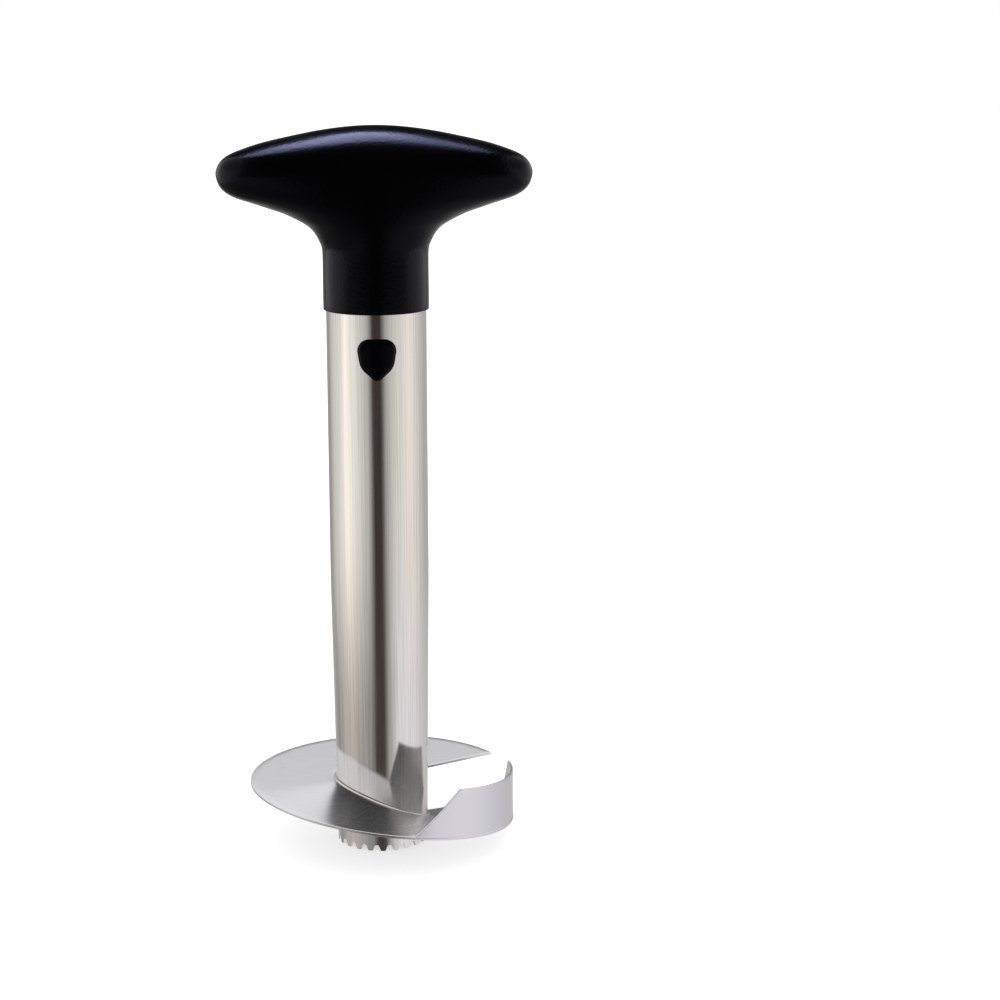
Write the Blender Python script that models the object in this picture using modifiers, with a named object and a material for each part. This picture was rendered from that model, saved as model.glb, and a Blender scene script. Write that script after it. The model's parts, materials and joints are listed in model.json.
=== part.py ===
"""Hand-turned pineapple slicer: T handle, push-button latch, core tube and spiral blade.

Metres, +Z up. The origin lies on the tube's axis, in the plane of the tooth tips on which
the slicer stands. The handle's bar runs along X, and the front button faces -Y. Angles
round the blade are degrees from the front, positive towards +X.
"""
import math

import bmesh
import bpy
from mathutils import Matrix, Vector

# Clearance between neighbouring pieces
SEAT_GAP = 0.0003
# How far a cutter runs past what it cuts
OVERRUN = 0.0020
# Points closer together than this are one point
MERGE_DISTANCE = 0.00001

# Core tube: a steel tube, parallel above and necked down towards its toothed foot
TUBE_LENGTH = 0.1788
TUBE_FOOT_RADIUS = 0.0150
TUBE_TOP_RADIUS = 0.01615
TUBE_TAPER_HEIGHT = 0.0900
TUBE_WALL = 0.0008
TOOTH_COUNT = 22
TOOTH_DEPTH = 0.0020
TOOTH_TIP_WIDTH = 0.0015
TOOTH_GULLET_WIDTH = 0.0012

# Spiral blade: a pressed disc, level for half a turn and then ramped down to its cutting edge
BLADE_RADIUS = 0.0440
BLADE_SHEET = 0.0010
BLADE_EDGE_HEIGHT = 0.0065
SLICE_THICKNESS = 0.0143
BLADE_EDGE_ANGLE = 112.0
BLADE_RAMP_TURN = 185.0
SLIT_TURN = 9.0
GROUND_WIDTH = 0.0040
GROUND_THICKNESS_SHARE = 0.2

# Side blade: the upright wall on the ramp that cuts the slices free of the shell
WALL_HEIGHT = 0.0165
WALL_SHEET = 0.0008
WALL_TAIL_ANGLE = 13.0
WALL_TAIL_RAKE = 22.0
WALL_EDGE_RAKE = 11.0

# Handle: two half shells that meet in the plane of the bar
HANDLE_HEIGHT = 0.0584
HANDLE_HALF_WIDTH = 0.0504
HANDLE_HALF_DEPTH = 0.0176
HANDLE_WALL = 0.0024
STEM_RADIUS = 0.0170
NOSE_FULLNESS_SHARE = 0.3
# Rings up the stem and the underside: shares of the way from stem to bar in width and in
# depth, and of the handle's height
UNDERSIDE_SHARES = (
    (0.0, 0.0, 0.0),
    (0.0, 0.0, 0.307),
    (0.019, 0.08, 0.361),
    (0.061, 0.20, 0.409),
    (0.126, 0.35, 0.452),
    (0.220, 0.50, 0.486),
    (0.368, 0.65, 0.527),
    (0.516, 0.78, 0.556),
    (0.663, 0.87, 0.584),
    (0.811, 0.94, 0.611),
    (0.906, 0.98, 0.639),
    (0.968, 1.0, 0.676),
    (1.0, 1.0, 0.730),
)
# Rings over the crown: shares of the bar's half width, its half depth and the handle's height
CROWN_SHARES = (
    (0.993, 0.994, 0.774),
    (0.959, 0.965, 0.818),
    (0.904, 0.924, 0.849),
    (0.834, 0.878, 0.873),
    (0.715, 0.785, 0.906),
    (0.556, 0.660, 0.938),
    (0.397, 0.510, 0.966),
    (0.238, 0.325, 0.987),
    (0.100, 0.140, 0.9975),
)

# Latch housing: the plug in the tube's top that carries the two buttons
HOUSING_DEPTH = 0.0290
NECK_RISE = 0.0080
NECK_HEIGHT = 0.0040
NECK_SIDE = 0.0180
HOUSING_HEAD_HEIGHT = 0.0050
HOUSING_CHAMFER = 0.0008
HOUSING_SHOULDER = 0.0031
WEB_THICKNESS = 0.0060
COVER_THICKNESS = 0.0023

# Buttons: a shield outline, the hull of two shoulder circles, a belly circle and a tip circle
BUTTON_DROP = 0.0144
BUTTON_SHOULDER_ROUND = 0.0039
BUTTON_SHOULDER_SPREAD = 0.0023
BUTTON_SHOULDER_RISE = 0.0028
BUTTON_BELLY_ROUND = 0.00575
BUTTON_BELLY_RISE = 0.0003
BUTTON_TIP_ROUND = 0.0022
BUTTON_TIP_DROP = 0.00445
BUTTON_PROUD = 0.0005
BUTTON_FLANGE_MARGIN = 0.0009
BUTTON_FLANGE_THICKNESS = 0.0020
BUTTON_PEG_RADIUS = 0.0015
BUTTON_PEG_LENGTH = 0.0023
OUTLINE_STEPS = 32

# Button springs
SPRING_WIRE_RADIUS = 0.00025
SPRING_COIL_RADIUS = 0.0024
SPRING_TURNS = 4
SPRING_POINTS_PER_TURN = 9

# Screws: three clamp the handle's shells from the rear, one holds the latch cover
HANDLE_SCREW_SPACING = 0.0290
HANDLE_SCREW_HEIGHT = 0.0424
HANDLE_SCREW_SEAT = 0.0050
HANDLE_SCREW_LENGTH = 0.0120
SCREW_SHANK_RADIUS = 0.00145
SCREW_HEAD_RADIUS = 0.0028
SCREW_HEAD_HEIGHT = 0.0020
SCREW_DOME = 0.0010
# A point on the domed head: shares of the head's radius and of the dome's drop
SCREW_CROWN_SHARES = (0.6, 0.15)
RECESS_WIDTH = 0.0008
RECESS_LENGTH = 0.0032
RECESS_DEPTH = 0.0010
FRONT_BOSS_RADIUS = 0.0036
REAR_BOSS_RADIUS = 0.0048
COVER_SCREW_LENGTH = 0.0080
COVER_SCREW_SHANK_RADIUS = 0.0012

# Facet counts
TUBE_STEPS = TOOTH_COUNT * 4
BLADE_COLUMNS = 100
BLADE_ROWS = 5
WALL_COLUMNS = 30
WALL_ROWS = 4
HANDLE_COLUMNS = 36
ROUND_STEPS = 44
SCREW_STEPS = 18

# Places worked out from the sizes above
HANDLE_BASE = TUBE_LENGTH + SEAT_GAP
HOUSING_BOTTOM = HANDLE_BASE - HOUSING_DEPTH
NECK_BOTTOM = HANDLE_BASE + NECK_RISE
NECK_TOP = NECK_BOTTOM + NECK_HEIGHT
HOUSING_TOP = NECK_TOP + HOUSING_HEAD_HEIGHT
BUTTON_HEIGHT = HANDLE_BASE - BUTTON_DROP
BLADE_TAIL_HEIGHT = BLADE_EDGE_HEIGHT + SLICE_THICKNESS
BLADE_TAIL_ANGLE = BLADE_EDGE_ANGLE + SLIT_TURN - 360.0


def tube_radius(height):
    """Outer radius of the core tube at a height above the tooth tips."""
    share = min(height / TUBE_TAPER_HEIGHT, 1.0)
    return TUBE_FOOT_RADIUS + (TUBE_TOP_RADIUS - TUBE_FOOT_RADIUS) * share


HOUSING_RADIUS = tube_radius(HOUSING_BOTTOM) - TUBE_WALL - SEAT_GAP
SHOULDER_REACH = HOUSING_RADIUS - HOUSING_SHOULDER
FLANGE_OUTER = SHOULDER_REACH - SEAT_GAP
FLANGE_INNER = FLANGE_OUTER - BUTTON_FLANGE_THICKNESS
BUTTON_FACE_RADIUS = tube_radius(BUTTON_HEIGHT) + BUTTON_PROUD


def clear_scene():
    """Remove every object of the open file."""
    for item in list(bpy.data.objects):
        bpy.data.objects.remove(item, do_unlink=True)


def add_collection(name):
    """Make a collection in the scene."""
    collection = bpy.data.collections.new(name)
    bpy.context.scene.collection.children.link(collection)
    return collection


def add_object(name, data, collection):
    """Put mesh or curve data in the scene under its name."""
    item = bpy.data.objects.new(name, data)
    collection.objects.link(item)
    return item


def mesh_from(name, bm, sharp_degrees=35.0):
    """Turn a bmesh into a smooth-shaded mesh with sharp corners kept."""
    mesh = bpy.data.meshes.new(name)
    bm.to_mesh(mesh)
    bm.free()
    mesh.shade_smooth()
    mesh.set_sharp_from_angle(angle=math.radians(sharp_degrees))
    return mesh


def as_cutter(item):
    """Mark an object as a tool that is not part of the product."""
    item.hide_render = True
    item.display_type = "WIRE"
    return item


def finish(item, colour, metallic, roughness):
    """Give an object its own Principled material."""
    material = bpy.data.materials.new(item.name + "_finish")
    material.use_nodes = True
    shader = material.node_tree.nodes["Principled BSDF"]
    shader.inputs["Base Color"].default_value = (*colour, 1.0)
    shader.inputs["Metallic"].default_value = metallic
    shader.inputs["Roughness"].default_value = roughness
    item.data.materials.append(material)


def black_plastic(item):
    """Fine-grained black moulded plastic."""
    finish(item, (0.010, 0.010, 0.013), 0.0, 0.42)


def brushed_steel(item):
    """Brushed stainless steel of the tube."""
    finish(item, (0.60, 0.59, 0.57), 1.0, 0.30)


def blade_steel(item):
    """Bright rolled stainless steel of the blades."""
    finish(item, (0.68, 0.67, 0.71), 1.0, 0.22)


def zinc_steel(item):
    """Bright zinc-plated steel of springs and screws."""
    finish(item, (0.52, 0.52, 0.54), 1.0, 0.35)


def combine(target, tool, operation):
    """Join, cut or intersect a piece with a tool, exactly."""
    modifier = target.modifiers.new(operation.title() + "_" + tool.name, "BOOLEAN")
    modifier.operation = operation
    modifier.solver = "EXACT"
    modifier.object = tool


def box_tool(name, low, high, collection):
    """A block between two corners."""
    size = [top - bottom for bottom, top in zip(low, high)]
    centre = [(top + bottom) / 2 for bottom, top in zip(low, high)]
    bm = bmesh.new()
    place = Matrix.Translation(centre) @ Matrix.Diagonal((*size, 1.0))
    bmesh.ops.create_cube(bm, size=1.0, matrix=place)
    return add_object(name, mesh_from(name, bm), collection)


def upright_cylinder(name, radius, bottom, top, collection):
    """A cylinder about the Z axis between two heights."""
    bm = bmesh.new()
    bmesh.ops.create_cone(
        bm, cap_ends=True, segments=ROUND_STEPS, radius1=radius, radius2=radius,
        depth=top - bottom, matrix=Matrix.Translation((0.0, 0.0, (top + bottom) / 2)))
    return add_object(name, mesh_from(name, bm), collection)


def level_cylinders(name, radius, start, end, centres, collection):
    """Cylinders parallel to Y from start to end, one about each (x, z) centre.

    They are turned by half a facet, so that no corner lies on a line of the handle's skin.
    """
    bm = bmesh.new()
    half_facet = Matrix.Rotation(math.pi / SCREW_STEPS, 4, "Z")
    turn = Matrix.Rotation(math.radians(90.0), 4, "X") @ half_facet
    for x, z in centres:
        middle = Matrix.Translation((x, (start + end) / 2, z))
        bmesh.ops.create_cone(
            bm, cap_ends=True, segments=SCREW_STEPS, radius1=radius, radius2=radius,
            depth=abs(end - start), matrix=middle @ turn)
    return add_object(name, mesh_from(name, bm), collection)


def turned(name, profile, steps, collection, closed=False):
    """Turn a profile of (radius, height) points, listed down its outer side, about Z."""
    mesh = bpy.data.meshes.new(name)
    edges = [(i, i + 1) for i in range(len(profile) - 1)]
    if closed:
        edges.append((len(profile) - 1, 0))
    mesh.from_pydata([(radius, 0.0, height) for radius, height in profile], edges, [])
    item = add_object(name, mesh, collection)
    screw = item.modifiers.new("Turn", "SCREW")
    screw.axis = "Z"
    screw.steps = steps
    screw.render_steps = steps
    screw.use_merge_vertices = True
    screw.merge_threshold = MERGE_DISTANCE
    screw.use_smooth_shade = False
    return item


def shield_outline(margin):
    """Points of the button's outline, grown by a margin, as (x, z) about its centre.

    Each direction takes the circle that reaches furthest, so the straight stretches come
    by themselves between the arcs.
    """
    circles = (
        (BUTTON_SHOULDER_SPREAD, BUTTON_SHOULDER_RISE, BUTTON_SHOULDER_ROUND),
        (-BUTTON_SHOULDER_SPREAD, BUTTON_SHOULDER_RISE, BUTTON_SHOULDER_ROUND),
        (0.0, BUTTON_BELLY_RISE, BUTTON_BELLY_ROUND),
        (0.0, -BUTTON_TIP_DROP, BUTTON_TIP_ROUND),
    )
    points = []
    for step in range(OUTLINE_STEPS):
        angle = 2.0 * math.pi * (step + 0.5) / OUTLINE_STEPS
        x_part, z_part = math.cos(angle), math.sin(angle)
        x, z, radius = max(circles, key=lambda c: c[0] * x_part + c[1] * z_part + c[2])
        points.append((x + (radius + margin) * x_part, z + (radius + margin) * z_part))
    return points


def shield_prism(name, margin, start, end, collection):
    """A shield-shaped bar parallel to Y from start to end, at the buttons' height."""
    curve = bpy.data.curves.new(name, "CURVE")
    curve.dimensions = "2D"
    curve.fill_mode = "BOTH"
    curve.extrude = (end - start) / 2
    curve.resolution_u = 1
    curve.render_resolution_u = 0
    spline = curve.splines.new("POLY")
    points = shield_outline(margin)
    spline.points.add(len(points) - 1)
    for point, (x, z) in zip(spline.points, points):
        point.co = (x, z, 0.0, 1.0)
    spline.use_cyclic_u = True
    flat = add_object(name + "_outline", curve, collection)
    flat.location = (0.0, (start + end) / 2, BUTTON_HEIGHT)
    flat.rotation_euler = (math.radians(90.0), 0.0, 0.0)
    bpy.context.view_layer.update()
    evaluated = flat.evaluated_get(bpy.context.evaluated_depsgraph_get())
    mesh = bpy.data.meshes.new_from_object(evaluated)
    mesh.name = name
    item = add_object(name, mesh, collection)
    item.matrix_world = flat.matrix_world
    bm = bmesh.new()
    bm.from_mesh(mesh)
    bmesh.ops.remove_doubles(bm, verts=bm.verts, dist=MERGE_DISTANCE)
    bmesh.ops.recalc_face_normals(bm, faces=bm.faces)
    bm.to_mesh(mesh)
    bm.free()
    bpy.data.objects.remove(flat)
    return item


def blade_height(angle):
    """Mid-plane height of the blade at an angle: level, then a smooth ramp to the edge."""
    ramp_start = BLADE_EDGE_ANGLE - BLADE_RAMP_TURN
    share = min(max((angle - ramp_start) / BLADE_RAMP_TURN, 0.0), 1.0)
    return BLADE_EDGE_HEIGHT + SLICE_THICKNESS * (1.0 + math.cos(math.pi * share)) / 2


def round_blade(radius, angle, height):
    """World point at a radius, an angle from the front and a height."""
    turn = math.radians(angle)
    return (radius * math.sin(turn), -radius * math.cos(turn), height)


def sheet(name, thickness, columns, rows, place, ground, collection):
    """Warp a flat grid into a sheet-metal piece of even thickness with one ground edge.

    place gives a point, and ground the distance from the cutting edge, for the shares of
    the way along (0 to 1) and across (0 to 1) the sheet.
    """
    bm = bmesh.new()
    bmesh.ops.create_grid(bm, x_segments=columns, y_segments=rows, size=0.5)
    bm.verts.ensure_lookup_table()
    shares = [(vert.co.x + 0.5, vert.co.y + 0.5) for vert in bm.verts]
    for vert, (along, across) in zip(bm.verts, shares):
        vert.co = place(along, across)
    item = add_object(name, mesh_from(name, bm), collection)
    group = item.vertex_groups.new(name="ground")
    for index, (along, across) in enumerate(shares):
        share = min(ground(along, across) / GROUND_WIDTH, 1.0)
        weight = GROUND_THICKNESS_SHARE + (1.0 - GROUND_THICKNESS_SHARE) * share
        group.add([index], weight, "REPLACE")
    solid = item.modifiers.new("Sheet", "SOLIDIFY")
    solid.thickness = thickness
    solid.offset = 0.0
    solid.use_even_offset = True
    solid.vertex_group = "ground"
    return item


def build_core_tube(parts, tools):
    """Steel tube with a toothed foot and two shield-shaped button holes."""
    profile = (
        (TUBE_TOP_RADIUS, TUBE_LENGTH),
        (TUBE_TOP_RADIUS, TUBE_TAPER_HEIGHT),
        (TUBE_FOOT_RADIUS, 0.0),
        (TUBE_FOOT_RADIUS - TUBE_WALL, 0.0),
        (TUBE_TOP_RADIUS - TUBE_WALL, TUBE_TAPER_HEIGHT),
        (TUBE_TOP_RADIUS - TUBE_WALL, TUBE_LENGTH),
    )
    tube = turned("core_tube", profile, TUBE_STEPS, parts, closed=True)
    bm = bmesh.new()
    pitch = 2.0 * math.pi * TUBE_FOOT_RADIUS / TOOTH_COUNT
    mouth = pitch - TOOTH_TIP_WIDTH
    flare = (mouth - TOOTH_GULLET_WIDTH) / TOOTH_DEPTH
    inner = TUBE_FOOT_RADIUS - TUBE_WALL - OVERRUN
    outer = TUBE_FOOT_RADIUS + OVERRUN
    for tooth in range(TOOTH_COUNT):
        turn = Matrix.Rotation(2.0 * math.pi * (tooth + 0.5) / TOOTH_COUNT, 4, "Z")
        block = bmesh.ops.create_cube(bm, size=1.0)
        for vert in block["verts"]:
            height = TOOTH_DEPTH if vert.co.z > 0.0 else -OVERRUN
            width = TOOTH_GULLET_WIDTH + flare * (TOOTH_DEPTH - height)
            reach = outer if vert.co.y > 0.0 else inner
            vert.co = turn @ Vector((math.copysign(width / 2, vert.co.x), reach, height))
    gullets = as_cutter(add_object("tooth_gullets", mesh_from("tooth_gullets", bm), tools))
    combine(tube, gullets, "DIFFERENCE")
    span = TUBE_TOP_RADIUS + OVERRUN
    holes = as_cutter(shield_prism("button_holes", 0.0, -span, span, tools))
    combine(tube, holes, "DIFFERENCE")
    brushed_steel(tube)


def build_slicing_disc(parts):
    """Pressed spiral disc, ground thin along its radial cutting edge."""
    turn = BLADE_EDGE_ANGLE - BLADE_TAIL_ANGLE
    bore = tube_radius(BLADE_TAIL_HEIGHT) + SEAT_GAP

    def place(along, across):
        angle = BLADE_TAIL_ANGLE + turn * along
        radius = bore + (BLADE_RADIUS - bore) * across
        return round_blade(radius, angle, blade_height(angle))

    def ground(along, across):
        radius = bore + (BLADE_RADIUS - bore) * across
        return math.radians(turn * (1.0 - along)) * radius

    disc = sheet("slicing_disc", BLADE_SHEET, BLADE_COLUMNS, BLADE_ROWS, place, ground, parts)
    blade_steel(disc)


def build_side_blade(parts):
    """Upright wall on the ramp's rim, raked at both ends and ground at the leading one."""
    radius = BLADE_RADIUS - WALL_SHEET / 2
    foot = BLADE_SHEET / 2 + SEAT_GAP
    turn = BLADE_EDGE_ANGLE - WALL_TAIL_ANGLE

    def angle_at(along, across):
        tail = WALL_TAIL_ANGLE + WALL_TAIL_RAKE * across
        edge = BLADE_EDGE_ANGLE - WALL_EDGE_RAKE * across
        return tail + (edge - tail) * along

    def place(along, across):
        angle = angle_at(along, across)
        rise = foot + (WALL_HEIGHT - foot) * across
        return round_blade(radius, angle, blade_height(angle) + rise)

    def ground(along, across):
        return math.radians(turn * (1.0 - along)) * radius

    wall = sheet("side_blade", WALL_SHEET, WALL_COLUMNS, WALL_ROWS, place, ground, parts)
    blade_steel(wall)


def handle_rings():
    """Level rings of the handle from stem to crown: half width, half depth, height."""
    rings = []
    for width, depth, height in UNDERSIDE_SHARES:
        rings.append((
            STEM_RADIUS + (HANDLE_HALF_WIDTH - STEM_RADIUS) * width,
            STEM_RADIUS + (HANDLE_HALF_DEPTH - STEM_RADIUS) * depth,
            HANDLE_BASE + HANDLE_HEIGHT * height))
    for width, depth, height in CROWN_SHARES:
        rings.append((
            HANDLE_HALF_WIDTH * width,
            HANDLE_HALF_DEPTH * depth,
            HANDLE_BASE + HANDLE_HEIGHT * height))
    return rings


def ring_power(half_width):
    """Exponent of a ring's curve: a true ellipse at the stem, fuller at the bar's noses."""
    share = (half_width - STEM_RADIUS) / (HANDLE_HALF_WIDTH - STEM_RADIUS)
    return 2.0 + NOSE_FULLNESS_SHARE * min(max(share, 0.0), 1.0)


def handle_skin(name, inset, collection):
    """Skin the rings, each drawn in by an inset, into one closed solid."""
    bm = bmesh.new()
    loops = []
    for width, depth, height in handle_rings():
        power = 2.0 / ring_power(width)
        loop = []
        for column in range(HANDLE_COLUMNS):
            angle = 2.0 * math.pi * column / HANDLE_COLUMNS
            x_part, y_part = math.cos(angle), math.sin(angle)
            x = math.copysign(abs(x_part) ** power, x_part) * (width - inset)
            y = math.copysign(abs(y_part) ** power, y_part) * (depth - inset)
            loop.append(bm.verts.new((x, y, height)))
        loops.append(loop)
    for low, high in zip(loops, loops[1:]):
        for column in range(HANDLE_COLUMNS):
            after = (column + 1) % HANDLE_COLUMNS
            bm.faces.new((low[column], low[after], high[after], high[column]))
    bm.faces.new(reversed(loops[0]))
    crown = bm.verts.new((0.0, 0.0, HANDLE_BASE + HANDLE_HEIGHT))
    for column in range(HANDLE_COLUMNS):
        bm.faces.new((loops[-1][column], loops[-1][(column + 1) % HANDLE_COLUMNS], crown))
    return add_object(name, mesh_from(name, bm), collection)


def handle_blank(name, collection):
    """The whole handle, hollowed to its wall thickness."""
    blank = handle_skin(name, 0.0, collection)
    wall = blank.modifiers.new("Wall", "SOLIDIFY")
    wall.thickness = HANDLE_WALL
    wall.offset = -1.0
    wall.use_even_offset = True
    return blank


def stem_tools(tools):
    """The stem's solid core, and the stepped bore in it that grips the latch housing."""
    bore = HOUSING_RADIUS + SEAT_GAP
    half_neck = NECK_SIDE / 2 + SEAT_GAP
    core = upright_cylinder(
        "stem_core", STEM_RADIUS - HANDLE_WALL / 2, HANDLE_BASE + HANDLE_WALL / 2,
        HOUSING_TOP + HANDLE_WALL, tools)
    lower = upright_cylinder(
        "stem_lower_bore", bore, HANDLE_BASE - OVERRUN, NECK_BOTTOM + SEAT_GAP, tools)
    neck = box_tool(
        "stem_neck_hole", (-half_neck, -half_neck, NECK_BOTTOM - SEAT_GAP),
        (half_neck, half_neck, NECK_TOP + SEAT_GAP), tools)
    upper = upright_cylinder(
        "stem_upper_bore", bore, NECK_TOP - SEAT_GAP, HOUSING_TOP + SEAT_GAP, tools)
    return as_cutter(core), [as_cutter(item) for item in (lower, neck, upper)]


def screw_places():
    """Where the three handle screws stand, seen from the front, as (x, z)."""
    height = HANDLE_BASE + HANDLE_SCREW_HEIGHT
    return [(x, height) for x in (-HANDLE_SCREW_SPACING, 0.0, HANDLE_SCREW_SPACING)]


def boss_tool(name, radius, side, tools):
    """Screw bosses from past the parting plane to the middle of the handle's wall.

    side is -1 for the front shell and 1 for the rear one.
    """
    bosses = as_cutter(level_cylinders(
        name, radius, side * (HANDLE_HALF_DEPTH + OVERRUN), -side * OVERRUN,
        screw_places(), tools))
    limit = as_cutter(handle_skin(name + "_limit", HANDLE_WALL / 2, tools))
    combine(bosses, limit, "INTERSECT")
    return bosses


def build_handle(parts, tools):
    """Front and rear half shells with their bosses, the stem's bore and the screw holes."""
    core, bores = stem_tools(tools)
    wide = HANDLE_HALF_WIDTH + OVERRUN
    deep = HANDLE_HALF_DEPTH + OVERRUN
    low = HANDLE_BASE - OVERRUN
    high = HANDLE_BASE + HANDLE_HEIGHT + OVERRUN
    half_gap = SEAT_GAP / 2
    front_half = as_cutter(box_tool(
        "front_half", (-wide, -deep, low), (wide, -half_gap, high), tools))
    rear_half = as_cutter(box_tool(
        "rear_half", (-wide, half_gap, low), (wide, deep, high), tools))
    hole_radius = SCREW_SHANK_RADIUS + SEAT_GAP
    tip = HANDLE_SCREW_SEAT - HANDLE_SCREW_LENGTH
    pilot = as_cutter(level_cylinders(
        "screw_holes", hole_radius, tip - SEAT_GAP, HANDLE_SCREW_SEAT + OVERRUN,
        screw_places(), tools))
    pockets = as_cutter(level_cylinders(
        "screw_pockets", SCREW_HEAD_RADIUS + SEAT_GAP, HANDLE_SCREW_SEAT, deep,
        screw_places(), tools))
    for name, half, radius, side in (
            ("handle_front_shell", front_half, FRONT_BOSS_RADIUS, -1),
            ("handle_rear_shell", rear_half, REAR_BOSS_RADIUS, 1)):
        shell = handle_blank(name, parts)
        combine(shell, core, "UNION")
        for bore in bores:
            combine(shell, bore, "DIFFERENCE")
        combine(shell, boss_tool(name + "_bosses", radius, side, tools), "UNION")
        combine(shell, half, "INTERSECT")
        combine(shell, pilot, "DIFFERENCE")
        if side > 0:
            combine(shell, pockets, "DIFFERENCE")
        black_plastic(shell)


def build_latch_housing(parts, tools):
    """Plug with a square neck for the stem, two button channels and a web between them."""
    bottom = HOUSING_BOTTOM
    profile = (
        (0.0, NECK_BOTTOM),
        (HOUSING_RADIUS, NECK_BOTTOM),
        (HOUSING_RADIUS, bottom),
        (0.0, bottom),
    )
    housing = turned("latch_housing", profile, ROUND_STEPS, parts)
    half_neck = NECK_SIDE / 2
    head = as_cutter(upright_cylinder(
        "housing_head", HOUSING_RADIUS, NECK_TOP, HOUSING_TOP, tools))
    neck = as_cutter(box_tool(
        "housing_neck", (-half_neck, -half_neck, NECK_BOTTOM - OVERRUN),
        (half_neck, half_neck, NECK_TOP + OVERRUN), tools))
    combine(housing, neck, "UNION")
    combine(housing, head, "UNION")
    outline = shield_outline(BUTTON_FLANGE_MARGIN)
    half_width = max(x for x, z in outline) + SEAT_GAP
    ceiling = BUTTON_HEIGHT + max(z for x, z in outline) + SEAT_GAP
    for name, side in (("front", -1), ("rear", 1)):
        near, far = sorted((side * WEB_THICKNESS / 2, side * SHOULDER_REACH))
        chamber = as_cutter(box_tool(
            name + "_chamber", (-half_width, near, bottom - OVERRUN),
            (half_width, far, ceiling), tools))
        combine(housing, chamber, "DIFFERENCE")
        start, end = sorted((side * (SHOULDER_REACH - OVERRUN), side * (HOUSING_RADIUS + OVERRUN)))
        channel = as_cutter(shield_prism(name + "_channel", 0.0, start, end, tools))
        combine(housing, channel, "DIFFERENCE")
    pilot = as_cutter(upright_cylinder(
        "cover_screw_hole", COVER_SCREW_SHANK_RADIUS + SEAT_GAP, bottom - OVERRUN,
        bottom - COVER_THICKNESS + COVER_SCREW_LENGTH + SEAT_GAP, tools))
    combine(housing, pilot, "DIFFERENCE")
    black_plastic(housing)


def build_latch_cover(parts):
    """Disc that closes the housing's chambers from below, with a chamfered lower rim."""
    top = HOUSING_BOTTOM - SEAT_GAP
    bottom = top - COVER_THICKNESS
    bore = COVER_SCREW_SHANK_RADIUS + SEAT_GAP
    radius = tube_radius(bottom) - TUBE_WALL - SEAT_GAP
    profile = (
        (bore, top),
        (radius, top),
        (radius, bottom + HOUSING_CHAMFER),
        (radius - HOUSING_CHAMFER, bottom),
        (bore, bottom),
    )
    cover = turned("latch_cover", profile, ROUND_STEPS, parts, closed=True)
    black_plastic(cover)


def screw_profile(head_radius, shank_radius, length):
    """Pan-head screw, head up, seated at height zero: (radius, height) points."""
    crown_radius, crown_drop = SCREW_CROWN_SHARES
    return (
        (0.0, SCREW_HEAD_HEIGHT),
        (head_radius * crown_radius, SCREW_HEAD_HEIGHT - SCREW_DOME * crown_drop),
        (head_radius, SCREW_HEAD_HEIGHT - SCREW_DOME),
        (head_radius, 0.0),
        (shank_radius, 0.0),
        (shank_radius, shank_radius - length),
        (0.0, -length),
    )


def screw_mesh(name, length, shank_radius, tools):
    """One screw with a cross recess, head up, seated at height zero."""
    shape = turned(name + "_blank", screw_profile(SCREW_HEAD_RADIUS, shank_radius, length),
                   SCREW_STEPS, tools)
    arm = (RECESS_LENGTH / 2, RECESS_WIDTH / 2)
    low = SCREW_HEAD_HEIGHT - RECESS_DEPTH
    high = SCREW_HEAD_HEIGHT + OVERRUN
    for label, (dx, dy) in (("a", arm), ("b", arm[::-1])):
        slot = as_cutter(box_tool(
            name + "_recess_" + label, (-dx, -dy, low), (dx, dy, high), tools))
        combine(shape, slot, "DIFFERENCE")
    bpy.context.view_layer.update()
    evaluated = shape.evaluated_get(bpy.context.evaluated_depsgraph_get())
    mesh = bpy.data.meshes.new_from_object(evaluated)
    mesh.name = name
    as_cutter(shape)
    return mesh


def build_screws(parts, tools):
    """Three handle screws from the rear and one cover screw from below."""
    mesh = screw_mesh("handle_screw", HANDLE_SCREW_LENGTH, SCREW_SHANK_RADIUS, tools)
    for name, (x, z) in zip(("left", "middle", "right"), screw_places()):
        screw = add_object("handle_screw_" + name, mesh.copy(), parts)
        screw.location = (x, HANDLE_SCREW_SEAT + SEAT_GAP, z)
        screw.rotation_euler = (math.radians(-90.0), 0.0, 0.0)
        zinc_steel(screw)
    mesh = screw_mesh("cover_screw", COVER_SCREW_LENGTH, COVER_SCREW_SHANK_RADIUS, tools)
    screw = add_object("cover_screw", mesh, parts)
    screw.location = (0.0, 0.0, HOUSING_BOTTOM - COVER_THICKNESS - 2 * SEAT_GAP)
    screw.rotation_euler = (math.pi, 0.0, 0.0)
    zinc_steel(screw)


def build_button(name, side, parts, tools):
    """Shield-shaped push button with an inner flange and a spring peg.

    side is -1 for the front and 1 for the rear. The origin lies on the button's own axis,
    at the tube's axis.
    """
    start, end = sorted((side * FLANGE_INNER, side * FLANGE_OUTER))
    button = shield_prism(name, BUTTON_FLANGE_MARGIN - SEAT_GAP, start, end, parts)
    start, end = sorted((side * (FLANGE_INNER + SEAT_GAP), side * (BUTTON_FACE_RADIUS + OVERRUN)))
    stem = as_cutter(shield_prism(name + "_stem", -SEAT_GAP, start, end, tools))
    face = as_cutter(upright_cylinder(
        name + "_face", BUTTON_FACE_RADIUS, HOUSING_BOTTOM, HANDLE_BASE, tools))
    peg = as_cutter(level_cylinders(
        name + "_peg", BUTTON_PEG_RADIUS, side * (FLANGE_INNER - BUTTON_PEG_LENGTH),
        side * (FLANGE_INNER + SEAT_GAP), [(0.0, BUTTON_HEIGHT)], tools))
    combine(stem, face, "INTERSECT")
    combine(button, stem, "UNION")
    combine(button, peg, "UNION")
    black_plastic(button)
    return button


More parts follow.
